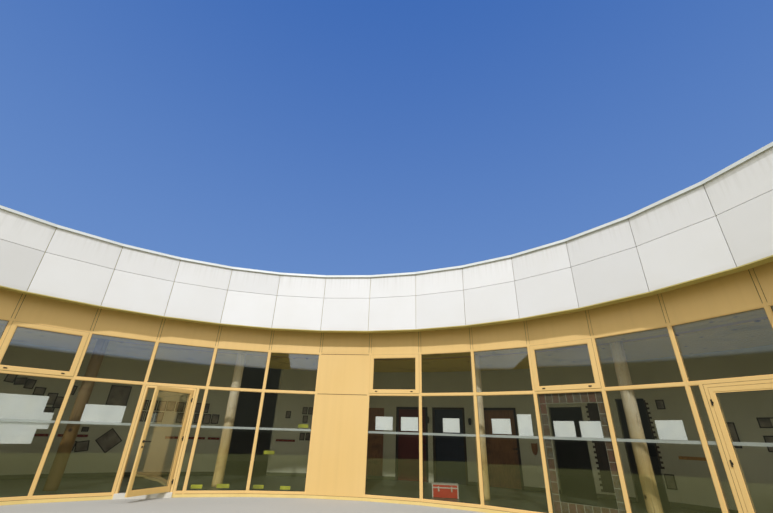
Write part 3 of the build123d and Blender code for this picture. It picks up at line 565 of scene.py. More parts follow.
def window_sheet(number, left, right, bottom, top):
    """Sheet with its corners curled off the pane."""
    bay = int(left)
    x_range = [GLAZING_RADIUS * tan((side - bay - 0.5) * BAY_ANGLE) for side in (left, right)]
    sheet = flat_start("sheet", x_range, (bottom, top), SHEET_DEPTH)
    subdivide(7)
    middle, half = sum(x_range) / 2, (x_range[1] - x_range[0]) / 2
    for vertex in sheet.data.vertices:
        out = abs(vertex.co.x - middle) / half
        low = (top - vertex.co.z) / (top - bottom)
        lift = CURL[0] + CURL[1] * sin(number * 2.3)
        vertex.co.y += lift * out ** 3 * low + WAVE * sin(9 * vertex.co.x + number) ** 2
    apply_modifier(sheet, "SOLIDIFY", thickness=PAPER_THICKNESS, offset=0)
    sheet.data.transform(bay_frame(bay))
    return sheet


def paper_finish(name, colour, aged):
    """Plain paper with a soft change of tone."""
    material, tree, shader = new_finish(name, 0.85)
    place = object_place(tree)
    ageing = stretched(tree, noise(tree, place, 0.25, 3.0), 0.3, 0.7)
    set_colour(tree, shader, mixed(tree, ageing, colour, aged))
    set_bump(tree, shader, noise(tree, place, 0.003, 2.0), 0.0001)
    return material


def taped_sheets(name, sheets, material):
    """Sheets of one kind taped up."""
    finished(joined(name, [window_sheet(number, *sheet) for number, sheet in enumerate(sheets)]),
             material)


taped_sheets("window_sheets", SHEETS,
             paper_finish("white_paper", paint(253, 255, 255), paint(244, 248, 252)))
taped_sheets("yellow_strips", STRIPS,
             paper_finish("yellow_paper", paint(206, 206, 74), paint(150, 152, 60)))


# --- Glazing beads and gaskets -----------------------------------------------
# Gold beads snap in round each pane and stand back from the bars, with a black gasket on the
# glass. The opening sashes have a wider bead and a black seal round them.
SILL, UNDER_TRANSOM, OVER_TRANSOM, UNDER_HEAD, OVER_HEAD = 0.112, 2.283, 2.333, 3.295, 3.345
BEAD_NEAR, BEAD_WIDTH = 0.009, 0.012
SASH_BAYS, SASH_FACE = (1, 7, 10), 0.08
SASH_BEAD_NEAR, SASH_BEAD_WIDTH, SASH_SEAL, SASH_SEAL_NEAR = -0.002, 0.014, 0.004, -0.0015
GASKET_WIDTH, DOOR_GASKET_WIDTH, GASKET_DEPTH, OFF_GLASS = 0.005, 0.006, 0.004, 0.0003
DOOR_LIGHT_LEVELS = (0.225, 2.141)


def hollow_rectangle(x_range, level_range, width, near, far):
    """Square-cornered ring in a bay's frame, from its outer edges inwards."""
    ring = flat_start("ring", x_range, level_range, near)
    open_mesh()
    bpy.ops.mesh.inset(thickness=width)
    bpy.ops.mesh.delete(type="FACE")
    bpy.ops.object.mode_set(mode="OBJECT")
    apply_modifier(ring, "SOLIDIFY", thickness=far - near, offset=-1)
    return ring


def keep(kept, piece, place):
    """Piece moved to its place and put with those of its kind."""
    piece.data.transform(place)
    kept.append(piece)


def shrunk(span, by):
    """Span drawn in at both ends."""
    return (span[0] + by, span[1] - by)


black_rubber = dull_metal("black_rubber", paint(34, 34, 34), paint(54, 53, 50), 0.7, 0.0)
beads, gaskets = [], []
for bay in GLAZED_BAYS:
    upper = (OVER_TRANSOM, UNDER_HEAD)
    lights = [(lower_pane(bay), (SILL, UNDER_TRANSOM), BEAD_NEAR, BEAD_WIDTH)]
    if bay in SASH_BAYS:
        lights.append((shrunk(FULL_BAY, SASH_FACE), shrunk(upper, SASH_FACE), SASH_BEAD_NEAR,
                       SASH_BEAD_WIDTH))
        seal = hollow_rectangle(shrunk(FULL_BAY, -SASH_SEAL), shrunk(upper, -SASH_SEAL), SASH_SEAL,
                                SASH_SEAL_NEAR, -OFF_GLASS)
        keep(gaskets, seal, bay_frame(bay))
    else:
        lights.append((FULL_BAY, upper, BEAD_NEAR, BEAD_WIDTH))
    for span, levels, near, width in lights:
        bead = hollow_rectangle(span, levels, width, near, GLASS_FACE - OFF_GLASS)
        gasket = hollow_rectangle(shrunk(span, width), shrunk(levels, width), GASKET_WIDTH,
                                  GLASS_FACE - GASKET_DEPTH, GLASS_FACE - OFF_GLASS)
        keep(beads, bead, bay_frame(bay))
        keep(gaskets, gasket, bay_frame(bay))
finished(joined("glazing_beads", beads), gold_coat)
finished(joined("glazing_gaskets", gaskets), black_rubber)
for body, span, place in DOOR_LIGHTS:
    gasket = hollow_rectangle(span, DOOR_LIGHT_LEVELS, DOOR_GASKET_WIDTH,
                              DOOR_GLASS_FACE - GASKET_DEPTH, DOOR_GLASS_FACE - OFF_GLASS)
    gasket.data.transform(place)
    gasket.name = gasket.data.name = body + "_gasket"
    finished(gasket, black_rubber, body)


# --- Fascia edge trim, cap straps and ceiling boards -------------------------
# A folded olive angle closes the foot of the fascia and turns back under it, and straps cover
# the joints of the cap. Varnished boards with open joints run round under the ceilings.
def fold_point(position, offset, level):
    """Point on a fold's radial, at an offset from the face of the glazing."""
    turn = (position - BAYS / 2) * BAY_ANGLE
    radius = (GLAZING_RADIUS + offset) / cos(BAY_ANGLE / 2)
    return COURTYARD_CENTRE + Vector((radius * sin(turn), radius * cos(turn), level))


def cut_sheet(name, outline):
    """Flat sheet cut to an outline, left open in edit mode."""
    bpy.ops.mesh.primitive_circle_add(vertices=len(outline), fill_type="NGON")
    piece = bpy.context.object
    piece.name = piece.data.name = name
    for vertex, point in zip(piece.data.vertices, outline):
        vertex.co = point
    open_mesh()
    return piece


def draw_out(x=0.0, y=0.0, z=0.0):
    """Selected faces drawn out by a step."""
    bpy.ops.mesh.extrude_region_move(TRANSFORM_OT_translate={"value": (x, y, z)})


def close_mesh():
    """Faces turned outwards, and edit mode left."""
    bpy.ops.mesh.select_all(action="SELECT")
    bpy.ops.mesh.normals_make_consistent(inside=False)
    bpy.ops.object.mode_set(mode="OBJECT")


def spun_round(name, section):
    """Closed section spun round the courtyard, with a facet for each bay."""
    piece = cut_sheet(name, [fold_point(0, offset, level) for offset, level in section])
    bpy.ops.mesh.spin(steps=BAYS, angle=BAY_ANGLE * BAYS, center=COURTYARD_CENTRE, axis=(0, 0, 1))
    bpy.ops.mesh.select_all(action="SELECT")
    bpy.ops.mesh.remove_doubles(threshold=1e-5)
    close_mesh()
    return piece


def oblong(near, far, low, high):
    """Section of a board or strip."""
    return ((near, low), (far, low), (far, high), (near, high))


PANEL_FRONT, SOFFIT_EDGE = -0.383, -0.19
TRIM_FRONT, TRIM_BACK = PANEL_FRONT - 0.002, PANEL_FRONT - 0.0004
TRIM_FOOT, TRIM_INSIDE, TRIM_HEAD = PANEL_FOOT - 0.002, PANEL_FOOT - 0.0004, PANEL_FOOT + 0.018
edge_trim = spun_round("fascia_edge_trim", (
    (TRIM_FRONT, TRIM_FOOT), (SOFFIT_EDGE, TRIM_FOOT), (SOFFIT_EDGE, TRIM_INSIDE),
    (TRIM_BACK, TRIM_INSIDE), (TRIM_BACK, TRIM_HEAD), (TRIM_FRONT, TRIM_HEAD)))
finished(edge_trim, carrier_coat)

CAP_FRONT, CAP_FOOT, CAP_TOP = -0.423, 5.373, 5.433
STRAPS, FIRST_STRAP, STRAP_SPACING, STRAP_WIDTH = 10, 0.15, 1.4, 0.06
STRAP_IN, STRAP_OUT, STRAP_REACH = 0.0003, 0.0015, 0.17
STRAP_SECTION = ((-STRAP_OUT, CAP_FOOT), (-STRAP_IN, CAP_FOOT), (-STRAP_IN, CAP_TOP + STRAP_IN),
                 (STRAP_REACH, CAP_TOP + STRAP_IN), (STRAP_REACH, CAP_TOP + STRAP_OUT),
                 (-STRAP_OUT, CAP_TOP + STRAP_OUT))
straps = []
for number in range(STRAPS):
    bay, share = divmod(FIRST_STRAP + STRAP_SPACING * number, 1)
    across = (GLAZING_RADIUS + CAP_FRONT) * tan((share - 0.5) * BAY_ANGLE)
    strap = cut_sheet("strap", [(across - STRAP_WIDTH / 2, CAP_FRONT + offset, level)
                                for offset, level in STRAP_SECTION])
    draw_out(x=STRAP_WIDTH)
    close_mesh()
    keep(straps, strap, bay_frame(bay))
finished(joined("cap_straps", straps), cap_metal)

BOARD, BOARD_JOINT, CEILINGS = 0.186, 0.012, ((0.085, 0.77), (1.03, 3.3))
BOARD_UNDER, BOARD_TOP = OVER_HEAD - 0.018, OVER_HEAD - 0.0005
ceiling_boards = []
for near, far in CEILINGS:
    count = int((far - near) / (BOARD + BOARD_JOINT))
    pitch = (far - near) / count
    for number in range(count):
        start = near + number * pitch
        ceiling_boards.append(spun_round("board", oblong(start, start + pitch - BOARD_JOINT,
                                                         BOARD_UNDER, BOARD_TOP)))
finished(joined("ceiling_boards", ceiling_boards), board_varnish)


# --- Vinyl floor -------------------------------------------------------------
# Dark green-grey sheet vinyl, 3 mm thick, glued down from the glazed wall to the outer wall.
# It is flecked all through, and feet have worn it cloudy.
def vinyl_finish():
    """Flecked sheet, cloudy from wear."""
    material, tree, shader = new_finish("sheet_vinyl", 0.35)
    marks = place_group(tree, weathering, Streak_Width=0.3, Blotch_Size=1.5)
    fleck = mixed(tree, marks["Speckle"], paint(86, 92, 74), paint(112, 116, 98))
    set_colour(tree, shader, tinted(tree, marks["Blotches"], 0.4, fleck, paint(70, 76, 60)))
    set_bump(tree, shader, marks["Speckle"], 0.0001)
    return material


VINYL_NEAR, VINYL_FAR, VINYL_FOOT, VINYL_TOP = 0.078, 9.46, 0.1003, 0.103
finished(spun_round("vinyl_floor", oblong(VINYL_NEAR, VINYL_FAR, VINYL_FOOT, VINYL_TOP)),
         vinyl_finish())


# --- Peeled trunks -----------------------------------------------------------
# Six whole trunks, peeled and sanded, with their sway, swellings and knots left in. They are
# raised ring by ring, and take the place of the plain round columns.
TRUNK_RADIUS, TRUNK_OFFSET, TRUNK_FOOT = 0.127, 0.9, 0.1
FIRST_TRUNK, TRUNK_SPACING, TRUNKS = radians(-46.2), radians(21.41), 6
TRUNK_SIDES, TRUNK_RINGS, SWELLING, TAPER, SWAY = 28, 40, 0.006, 0.0008, 0.006
KNOTS, KNOT_REACH, KNOT_HEIGHT = 9, 0.07, 0.009


def round_start(sides, radius):
    """Flat disc left open in edit mode, to be raised ring by ring."""
    bpy.ops.mesh.primitive_circle_add(vertices=sides, radius=radius, fill_type="NGON")
    open_mesh()
    return bpy.context.object


def raise_ring(rise, swell):
    """Top of the open piece drawn up and made wider or narrower."""
    draw_out(z=rise)
    bpy.ops.transform.resize(value=(swell, swell, 1))


def peeled_trunk(number):
    """Trunk raised ring by ring from its foot."""
    tall = OVER_HEAD - TRUNK_FOOT
    trunk = round_start(TRUNK_SIDES, TRUNK_RADIUS)
    for ring in range(TRUNK_RINGS):
        raise_ring(tall / TRUNK_RINGS, 1 + SWELLING * sin(0.9 * ring + 2.1 * number) - TAPER)
    close_mesh()
    for vertex in trunk.data.vertices:
        share = vertex.co.z / tall
        vertex.co.x += SWAY * sin(pi * share) * sin(4 * share + 1.7 * number)
        vertex.co.y += SWAY * sin(pi * share) * cos(3 * share + 2.9 * number)
        for knot in range(KNOTS):
            turn, level = 2.4 * knot + number, tall * ((0.37 * knot + 0.13 * number) % 1)
            spot = Vector((TRUNK_RADIUS * cos(turn), TRUNK_RADIUS * sin(turn), level))
            near = max(0.0, 1 - (vertex.co - spot).length / KNOT_REACH)
            vertex.co.x += KNOT_HEIGHT * near ** 2 * cos(turn)
            vertex.co.y += KNOT_HEIGHT * near ** 2 * sin(turn)
    trunk.data.transform(Matrix.Rotation(1.9 * number, 4, "Z"))
    turn = FIRST_TRUNK + number * TRUNK_SPACING
    reach = GLAZING_RADIUS + TRUNK_OFFSET
    trunk.data.transform(Matrix.Translation(COURTYARD_CENTRE + Vector(
        (reach * sin(turn), reach * cos(turn), TRUNK_FOOT))))
    bpy.ops.object.shade_smooth()
    return trunk


trunks = finished(joined("peeled_trunks", [peeled_trunk(number) for number in range(TRUNKS)]),
                  peeled_timber)
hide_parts("timber_columns")


# --- Skirting, coat rails and frames on the corridor wall --------------------
# Softwood skirting and coat rails, most of them dark red, are screwed to the plaster. Blank
# cards hang in thin dark frames. A position counts bays from the left, on the wall's radials.
WALL_FACE = 3.35
WALL_FOLDS = (0, 1, 2, 3, 4, 5.0693, 6, 7, 7.7226, 8.4448, 9.3247, 10.4594, 11, 12, 13, 14)
WIDE_DOORWAY, NARROW_DOORWAY = 9.8448, 10.6895
WALL_OPENINGS = ((4.6248, 0.755), (7.4104, 0.52), (8.0349, 0.52), (8.8546, 0.52),
                 (WIDE_DOORWAY, 0.431), (NARROW_DOORWAY, 0.325))
VINYL_FACE, SKIRTING_HEAD, SKIRTING_DEPTH, SKIRTING_ROUND = 0.1032, 0.203, 0.014, 0.005
SHORTEST_RUN, OFF_PLASTER = 0.08, 0.0003


def wall_facet(position):
    """Frame of the wall facet at a radial (origin at its first fold, X along it, Y into the
    rooms), with the facet's length."""
    after = next(fold for fold in WALL_FOLDS if fold > position)
    before = WALL_FOLDS[WALL_FOLDS.index(after) - 1]
    start, end = (fold_point(fold, WALL_FACE, 0) for fold in (before, after))
    along = (end - start).normalized()
    frame_of_facet = Matrix((along, Vector((-along.y, along.x, 0)), Vector((0, 0, 1)))).transposed()
    return Matrix.Translation(start) @ frame_of_facet.to_4x4(), (end - start).length


def along_facet(position):
    """Distance along its facet of a radial."""
    place, _ = wall_facet(position)
    turn = (position - BAYS / 2) * BAY_ANGLE
    ray = Vector((sin(turn), cos(turn), 0))
    start, along = place.to_translation() - COURTYARD_CENTRE, place.to_3x3().col[0]
    return (start.y * ray.x - start.x * ray.y) / (along.x * ray.y - along.y * ray.x)


def wall_spot(position, level=0.0):
    """Frame on the wall at a position and a level."""
    return wall_facet(position)[0] @ Matrix.Translation((along_facet(position), 0, level))


def wall_runs():
    """Lengths of plain wall along each facet, between the openings."""
    runs = []
    for before in WALL_FOLDS[:-1]:
        place, length = wall_facet(before)
        cuts = [(along_facet(p) - half, along_facet(p) + half) for p, half in WALL_OPENINGS
                if wall_facet(p)[0] == place]
        start = 0.0
        for low, high in sorted(cuts):
            runs.append((place, start, low))
            start = high
        runs.append((place, start, length))
    return [run for run in runs if run[2] - run[1] > SHORTEST_RUN]


def open_at(piece, parts, chosen):
    """Edit mode with only those edges or faces of a piece selected that pass a test."""
    bpy.ops.object.mode_set(mode="EDIT")
    bpy.ops.mesh.select_all(action="DESELECT")
    bpy.ops.object.mode_set(mode="OBJECT")
    for part in getattr(piece.data, parts):
        part.select = chosen(part)
    bpy.ops.object.mode_set(mode="EDIT")
    bpy.ops.mesh.select_mode(type="EDGE" if parts == "edges" else "FACE")


def close_at():
    """Edit mode left, with its way of picking set back to corners."""
    bpy.ops.mesh.select_mode(type="VERT")
    bpy.ops.object.mode_set(mode="OBJECT")


def board_on_wall(name, start, end, low, high, thickness, rounding):
    """Board in a facet's frame, its long front edges rounded."""
    middle = ((start + end) / 2, -thickness / 2 - OFF_PLASTER, (low + high) / 2)
    bpy.ops.mesh.primitive_cube_add(size=1, location=middle)
    board = bpy.context.object
    board.name = name
    board.scale = (end - start, thickness, high - low)
    bpy.ops.object.transform_apply(location=True, rotation=True, scale=True)

    def long_and_front(edge):
        ends = [board.data.vertices[corner].co for corner in edge.vertices]
        level = abs(ends[0].z - ends[1].z) < 1e-6
        return level and all(point.y < -thickness / 2 for point in ends)
    open_at(board, "edges", long_and_front)
    bpy.ops.mesh.bevel(offset=rounding, segments=3)
    close_at()
    return board


skirting = []
for place, start, end in wall_runs():
    length = board_on_wall("skirting", start, end, VINYL_FACE, SKIRTING_HEAD, SKIRTING_DEPTH,
                           SKIRTING_ROUND)
    keep(skirting, length, place)
skirting_paint = wall_finish("skirting_paint", paint(92, 94, 62), paint(74, 76, 50), 0.45)
finished(joined("corridor_skirting", skirting), skirting_paint)

RAILS = ((1.62, 1.95), (2.05, 2.4), (2.96, 3.35), (3.4, 3.98), (4.02, 4.2), (5.1, 5.42),
         (11.08, 11.36), (12.1, 12.7))
FIRST_TIMBER_RAIL, WALL_BAY, RAIL_END_GAP = 11, 1.9, 0.02
RAIL_LEVELS, RAIL_DEPTH, RAIL_ROUND = (1.075, 1.14), 0.02, 0.006
PEG_RADIUS, PEG_LENGTH, PEG_MIDDLE, PEG_LEVEL, PEG_SPACING = 0.008, 0.05, -0.044, 1.108, 0.14
PEG_FRONT, HEAD_WIDTH, HEAD_LENGTH, HEAD_ROUND = -0.068, 1.7, 0.012, 0.004


def copied(piece):
    """Copy of a piece, with its own mesh."""
    twin = piece.copy()
    twin.data = piece.data.copy()
    bpy.context.scene.collection.objects.link(twin)
    return twin


def coat_peg():
    """Turned peg with a wider rounded head, at the start of a facet."""
    bpy.ops.mesh.primitive_cylinder_add(vertices=12, radius=PEG_RADIUS, depth=PEG_LENGTH,
                                        location=(0, PEG_MIDDLE, PEG_LEVEL),
                                        rotation=(pi / 2, 0, 0))
    peg = bpy.context.object
    bpy.ops.object.transform_apply(location=True, rotation=True, scale=True)
    open_at(peg, "polygons", lambda face: face.center.y < PEG_FRONT)
    bpy.ops.transform.resize(value=(HEAD_WIDTH, 1, HEAD_WIDTH))
    draw_out(y=-HEAD_LENGTH)
    bpy.ops.mesh.bevel(offset=HEAD_ROUND, segments=2)
    close_at()
    return peg


red_rails, timber_rails, pegs, peg = [], [], [], coat_peg()
for first, last in RAILS:
    place, facet_length = wall_facet(first)
    start = along_facet(first)
    end = min(start + (last - first) * WALL_BAY, facet_length - RAIL_END_GAP)
    rail = board_on_wall("rail", start, end, *RAIL_LEVELS, RAIL_DEPTH, RAIL_ROUND)
    keep(red_rails if first < FIRST_TIMBER_RAIL else timber_rails, rail, place)
    count = max(2, int((end - start) / PEG_SPACING))
    for number in range(count):
        along = start + (number + 0.5) * (end - start) / count
        keep(pegs, copied(peg), place @ Matrix.Translation((along, 0, 0)))
bpy.data.objects.remove(peg)
beech = timber_finish("rail_beech", paint(196, 148, 82), paint(168, 122, 60), paint(120, 86, 50))
rail_gloss = door_coat("rail_gloss", paint(112, 34, 34), paint(150, 74, 64))
finished(joined("red_coat_rails", red_rails), rail_gloss)
finished(joined("timber_coat_rails", timber_rails), beech)
finished(joined("coat_pegs", pegs), beech)

# Each row of frames is given by their width, height, level, lean in degrees and positions.
FRAMES = ((0.2, 0.26, 2.46, 8, (1.32,)), (0.24, 0.18, 2.38, -6, (1.43,)),
          (0.2, 0.24, 2.33, 5, (1.54,)), (0.24, 0.2, 2.17, 0, (1.67,)),
          (0.22, 0.3, 2.0, 0, (1.83,)), (0.22, 0.3, 1.92, 0, (1.93,)),
          (0.22, 0.26, 1.66, 0, (1.85,)), (0.2, 0.24, 2.26, 6, (2.02,)),
          (0.52, 0.58, 2.18, 0, (2.62,)), (0.16, 0.12, 1.27, 0, (2.34,)),
          (0.46, 0.46, 1.0, 45, (2.67,)), (0.34, 0.24, 0.88, 8, (2.2,)),
          (0.3, 0.26, 0.85, -8, (2.37,)), (0.22, 0.28, 1.98, 0, (2.98, 3.11, 3.24, 3.37)),
          (0.22, 0.28, 1.97, 0, (3.5, 3.63, 3.76, 3.88)),
          (0.22, 0.28, 1.66, 0, (2.98, 3.11, 3.24, 3.55, 3.68, 3.81, 3.94, 4.07)),
          (0.16, 0.22, 1.88, 0, (5.25,)), (0.16, 0.22, 2.02, 0, (5.53, 5.63)),
          (0.16, 0.22, 1.76, 0, (5.55,)), (0.16, 0.22, 1.24, 0, (5.53, 5.63)),
          (0.18, 0.22, 2.25, 0, (11.035,)), (0.26, 0.5, 1.6, 0, (11.64,)),
          (0.3, 0.2, 1.84, 0, (11.99,)), (0.3, 0.3, 1.45, 0, (11.99,)),
          (0.2, 0.3, 0.6, 0, (10.93,)), (0.24, 0.3, 1.75, 0, (12.3, 12.5)))
RIM, RIM_NEAR, RIM_FAR = 0.022, -0.016, -0.0005
CARD_EDGE, CARD_NEAR, CARD_THICKNESS = 0.02, -0.006, 0.003


def card_finish():
    """Plain card, darker in patches."""
    material, tree, shader = new_finish("card_stock", 0.8)
    tone = stretched(tree, noise(tree, object_place(tree), 0.3, 2.0), 0.35, 0.65)
    set_colour(tree, shader, mixed(tree, tone, paint(96, 92, 84), paint(150, 142, 126)))
    return material


frames, cards = [], []
for width, tall, level, lean, positions in FRAMES:
    span, levels = (-width / 2, width / 2), (-tall / 2, tall / 2)
    for position in positions:
        spot = wall_spot(position, level) @ Matrix.Rotation(radians(lean), 4, "Y")
        keep(frames, hollow_rectangle(span, levels, RIM, RIM_NEAR, RIM_FAR), spot)
        card = flat_start("card", shrunk(span, CARD_EDGE), shrunk(levels, CARD_EDGE), CARD_NEAR)
        open_mesh()
        bpy.ops.mesh.inset(thickness=CARD_EDGE)
        bpy.ops.object.mode_set(mode="OBJECT")
        apply_modifier(card, "SOLIDIFY", thickness=CARD_THICKNESS, offset=-1)
        keep(cards, card, spot)
finished(joined("wall_frames", frames), dark_metal)
finished(joined("wall_cards", cards), card_finish())


# --- Stone border, toothed borders and brown board ---------------------------
# Card printed with rough stones, one stone wide, is taped round the inside of a lower pane.
# Paper quoins stand beside the two doorways behind it, and a brown board beside the red door.
BORDER_BAY = 10
STONE_WIDTH, STONE_HEIGHT, STONE_START = 0.141, 0.2035, -0.48
STONE_HEAD, STONE_FOOT = 2.078, 0.338


def stone_paper():
    """Matt card printed with mottled stones, set out from the border's inner corners."""
    material, tree, shader = new_finish("stone_paper", 0.8)
    place = bay_frame(BORDER_BAY)
    across = place.to_3x3().col[0]
    start = place.to_translation().dot(across) + STONE_START - 10 * STONE_WIDTH
    world, joint_paint = object_place(tree), paint(150, 150, 132)
    along = worked(tree, "SUBTRACT", reach_along(tree, world, across), start)
    height = add_node(tree, "SeparateXYZ", {0: world}).outputs[2]
    below, above = 5 * STONE_HEIGHT - STONE_FOOT, 11 * STONE_HEIGHT - STONE_HEAD
    at_foot = worked(tree, "LESS_THAN", height, STONE_FOOT)
    level = worked(tree, "ADD", height,
                   worked(tree, "MULTIPLY_ADD", at_foot, below - above, above))
    flat = add_node(tree, "CombineXYZ", {0: along, 1: level}).outputs[0]
    stones = add_node(tree, "TexBrick",
                      {"Vector": flat, "Scale": 1.0, "Mortar Size": 0.009, "Mortar Smooth": 0.4,
                       "Bias": 0.0, "Brick Width": STONE_WIDTH, "Row Height": STONE_HEIGHT,
                       "Color1": paint(118, 74, 62), "Color2": paint(104, 108, 96),
                       "Mortar": joint_paint}, offset=0.0).outputs
    mottling = stretched(tree, noise(tree, world, 0.06, 5.0, 0.7), 0.38, 0.62)
    mottled = mixed(tree, mottling, stones["Color"], paint(98, 78, 44))
    set_colour(tree, shader, mixed(tree, stones["Fac"], mottled, joint_paint))
    set_bump(tree, shader, stones["Fac"], -0.0008)
    return material


dress(stone_paper(), "stone_border")


def outline_on_wall(name, centre, outline, depth=0.003):
    """Sheet cut to an outline that is set out from a position on the wall."""
    piece = cut_sheet(name, [(x, -0.0005, level) for x, level in outline])
    draw_out(y=-depth)
    close_mesh()
    piece.data.transform(wall_spot(centre))
    return piece


def toothed(straight, toothed_side, tooth, low, high, count):
    """Outline of a border with square teeth along one side."""
    pitch = (high - low) / count
    points = [(straight, low), (straight, high)]
    for number in reversed(range(count)):
        top, bottom = low + (number + 1) * pitch, low + number * pitch
        tooth_top = bottom + 0.45 * pitch
        points += [(toothed_side, top), (toothed_side, tooth_top),
                   (toothed_side + tooth, tooth_top), (toothed_side + tooth, bottom)]
    return points


# Each border is given by its doorway, straight side, toothed side, tooth, foot, head and teeth.
BORDERS = ((WIDE_DOORWAY, 0.886, 0.6, -0.05, 0.25, 2.32, 17),
           (NARROW_DOORWAY, 0.327, 0.36, 0.05, 0.85, 2.36, 14))
borders = [outline_on_wall("border", doorway, toothed(*sides)) for doorway, *sides in BORDERS]
dark_paper = timber_finish("dark_paper", paint(66, 54, 40), paint(52, 36, 28), paint(34, 36, 28))
finished(joined("toothed_borders", borders), dark_paper)

BOARD_LEFT, BOARD_RIGHT, BOARD_LEVELS = 6.6, 6.925, (0.205, 2.175)
BOARD_DEPTH, BOARD_ROUND = 0.022, 0.008
brown_board = board_on_wall("brown_board", along_facet(BOARD_LEFT), along_facet(BOARD_RIGHT),
                            *BOARD_LEVELS, BOARD_DEPTH, BOARD_ROUND)
brown_board.data.transform(wall_facet(BOARD_LEFT)[0])
finished(brown_board, door_veneer)


# --- Wall lamps and shield plaque --------------------------------------------
# Two dark spun lamps on short arms flank the navy door, and a bare shield, cut from a board,
# hangs by the brown one.
SHADE_RINGS = ((0.012, 1.5), (0.05, 1.25), (0.05, 1.08), (0.05, 0.98), (0.03, 0.75), (0.008, 0.6))
SHADE_SIDES, SHADE_FOOT, SHADE_OFF_WALL, SHADE_DROP = 20, 0.022, 0.07, 0.1
PLATE_HALF, PLATE_TALL, PLATE_BACK, PLATE_DEPTH = 0.03, 0.05, -0.001, 0.01
ARM_INSET, ARM_LENGTH = 0.02, 0.05
LAMPS = ((7.69, 1.84), (8.39, 1.82))


def wall_lamp(position, level):
    """Spun shade raised ring by ring, and its arm drawn out of a plate on the wall."""
    shade = round_start(SHADE_SIDES, SHADE_FOOT)
    for rise, swell in SHADE_RINGS:
        raise_ring(rise, swell)
    close_mesh()
    bpy.ops.object.shade_smooth()
    shade.data.transform(Matrix.Translation((0, -SHADE_OFF_WALL, level - SHADE_DROP)))
    plate = flat_start("plate", (-PLATE_HALF, PLATE_HALF), (level - PLATE_TALL, level + PLATE_TALL),
                       PLATE_BACK)
    open_mesh()
    draw_out(y=-PLATE_DEPTH)
    bpy.ops.mesh.inset(thickness=ARM_INSET)
    draw_out(y=-ARM_LENGTH)
    close_mesh()
    lamp = joined("lamp", [shade, plate])
    lamp.data.transform(wall_spot(position))
    return lamp


finished(joined("wall_lamps", [wall_lamp(*lamp) for lamp in LAMPS]), dark_metal)

SHIELD_AT, SHIELD_DEPTH, SHIELD_ROUND = 9.34, 0.012, 0.004
SHIELD_OUTLINE = [(-0.085, 1.29), (-0.04, 1.275), (0, 1.285), (0.04, 1.275), (0.085, 1.29),
                  (0.088, 1.2), (0.08, 1.1), (0.055, 1.02), (0, 0.97), (-0.055, 1.02),
                  (-0.08, 1.1), (-0.088, 1.2)][::-1]
shield = outline_on_wall("shield_plaque", SHIELD_AT, SHIELD_OUTLINE, SHIELD_DEPTH)
apply_modifier(shield, "BEVEL", width=SHIELD_ROUND, segments=2)
finished(shield, door_veneer)


# --- Red case behind the glass -----------------------------------------------
# A small travelling case with a lacquered red shell, pale edging strips and two plated clasps,
# standing on the vinyl with its lid shut.
CASE_PLACE = Matrix.Translation((1.87, -1.88, VINYL_FACE)) @ Matrix.Rotation(radians(2), 4, "Z")
CASE_HALF, CASE_DEPTH, CASE_HEIGHT, CASE_LID, LID_GAP = 0.3, 0.3, 0.27, 0.2, 0.002
SHELL_ROUND, LID_ROUND = 0.012, 0.014
STRIP_IN, STRIP_HALF, STRIP_PROUD, STRIP_ROUND = 0.008, 0.014, 0.003, 0.003
HOOP_HALF, HOOP_SIDE, HOOP_PROUD = 0.012, 0.002, 0.004
CLASP_AT, CLASP_HALF, CLASP_NEAR, CLASP_FAR = 0.15, 0.016, -0.01, -0.0005
CLASP_DOWN, CLASP_UP = 0.075, 0.03


def case_block(x_range, y_range, z_range, rounding):
    """Block of the case with its edges rounded."""
    spans = (x_range, y_range, z_range)
    bpy.ops.mesh.primitive_cube_add(size=1, location=[sum(span) / 2 for span in spans])
    block = bpy.context.object
    block.scale = [span[1] - span[0] for span in spans]
    bpy.ops.object.transform_apply(location=True, rotation=True, scale=True)
    apply_modifier(block, "BEVEL", width=rounding, segments=3)
    block.data.transform(CASE_PLACE)
    return block


case_span, case_depth = (-CASE_HALF, CASE_HALF), (0, CASE_DEPTH)
case_shell = [case_block(case_span, case_depth, (0, CASE_LID - LID_GAP), SHELL_ROUND),
              case_block(case_span, case_depth, (CASE_LID, CASE_HEIGHT), LID_ROUND)]
case_lacquer = door_coat("case_lacquer", paint(196, 44, 30), paint(214, 96, 78))
finished(joined("case_shell", case_shell), case_lacquer)
edging = []
for side in (-1, 1):
    end, clasp = side * (CASE_HALF - STRIP_IN), side * CLASP_AT
    edging.append(case_block((end - STRIP_HALF, end + STRIP_HALF), shrunk(case_depth, -STRIP_PROUD),
                             (0, CASE_HEIGHT + STRIP_PROUD), STRIP_ROUND))
    edging.append(case_block((clasp - CLASP_HALF, clasp + CLASP_HALF), (CLASP_NEAR, CLASP_FAR),
                             (CASE_LID - CLASP_DOWN, CASE_LID + CLASP_UP), STRIP_ROUND))
for levels in ((CASE_LID - HOOP_HALF, CASE_LID + HOOP_HALF),
               (CASE_HEIGHT - HOOP_HALF, CASE_HEIGHT + HOOP_SIDE)):
    edging.append(case_block(shrunk(case_span, -HOOP_SIDE), shrunk(case_depth, -HOOP_PROUD), levels,
                             STRIP_ROUND))
case_plate = dull_metal("case_plate", paint(226, 220, 206), paint(190, 182, 164), 0.4, 0.3)
finished(joined("case_edging", edging), case_plate)
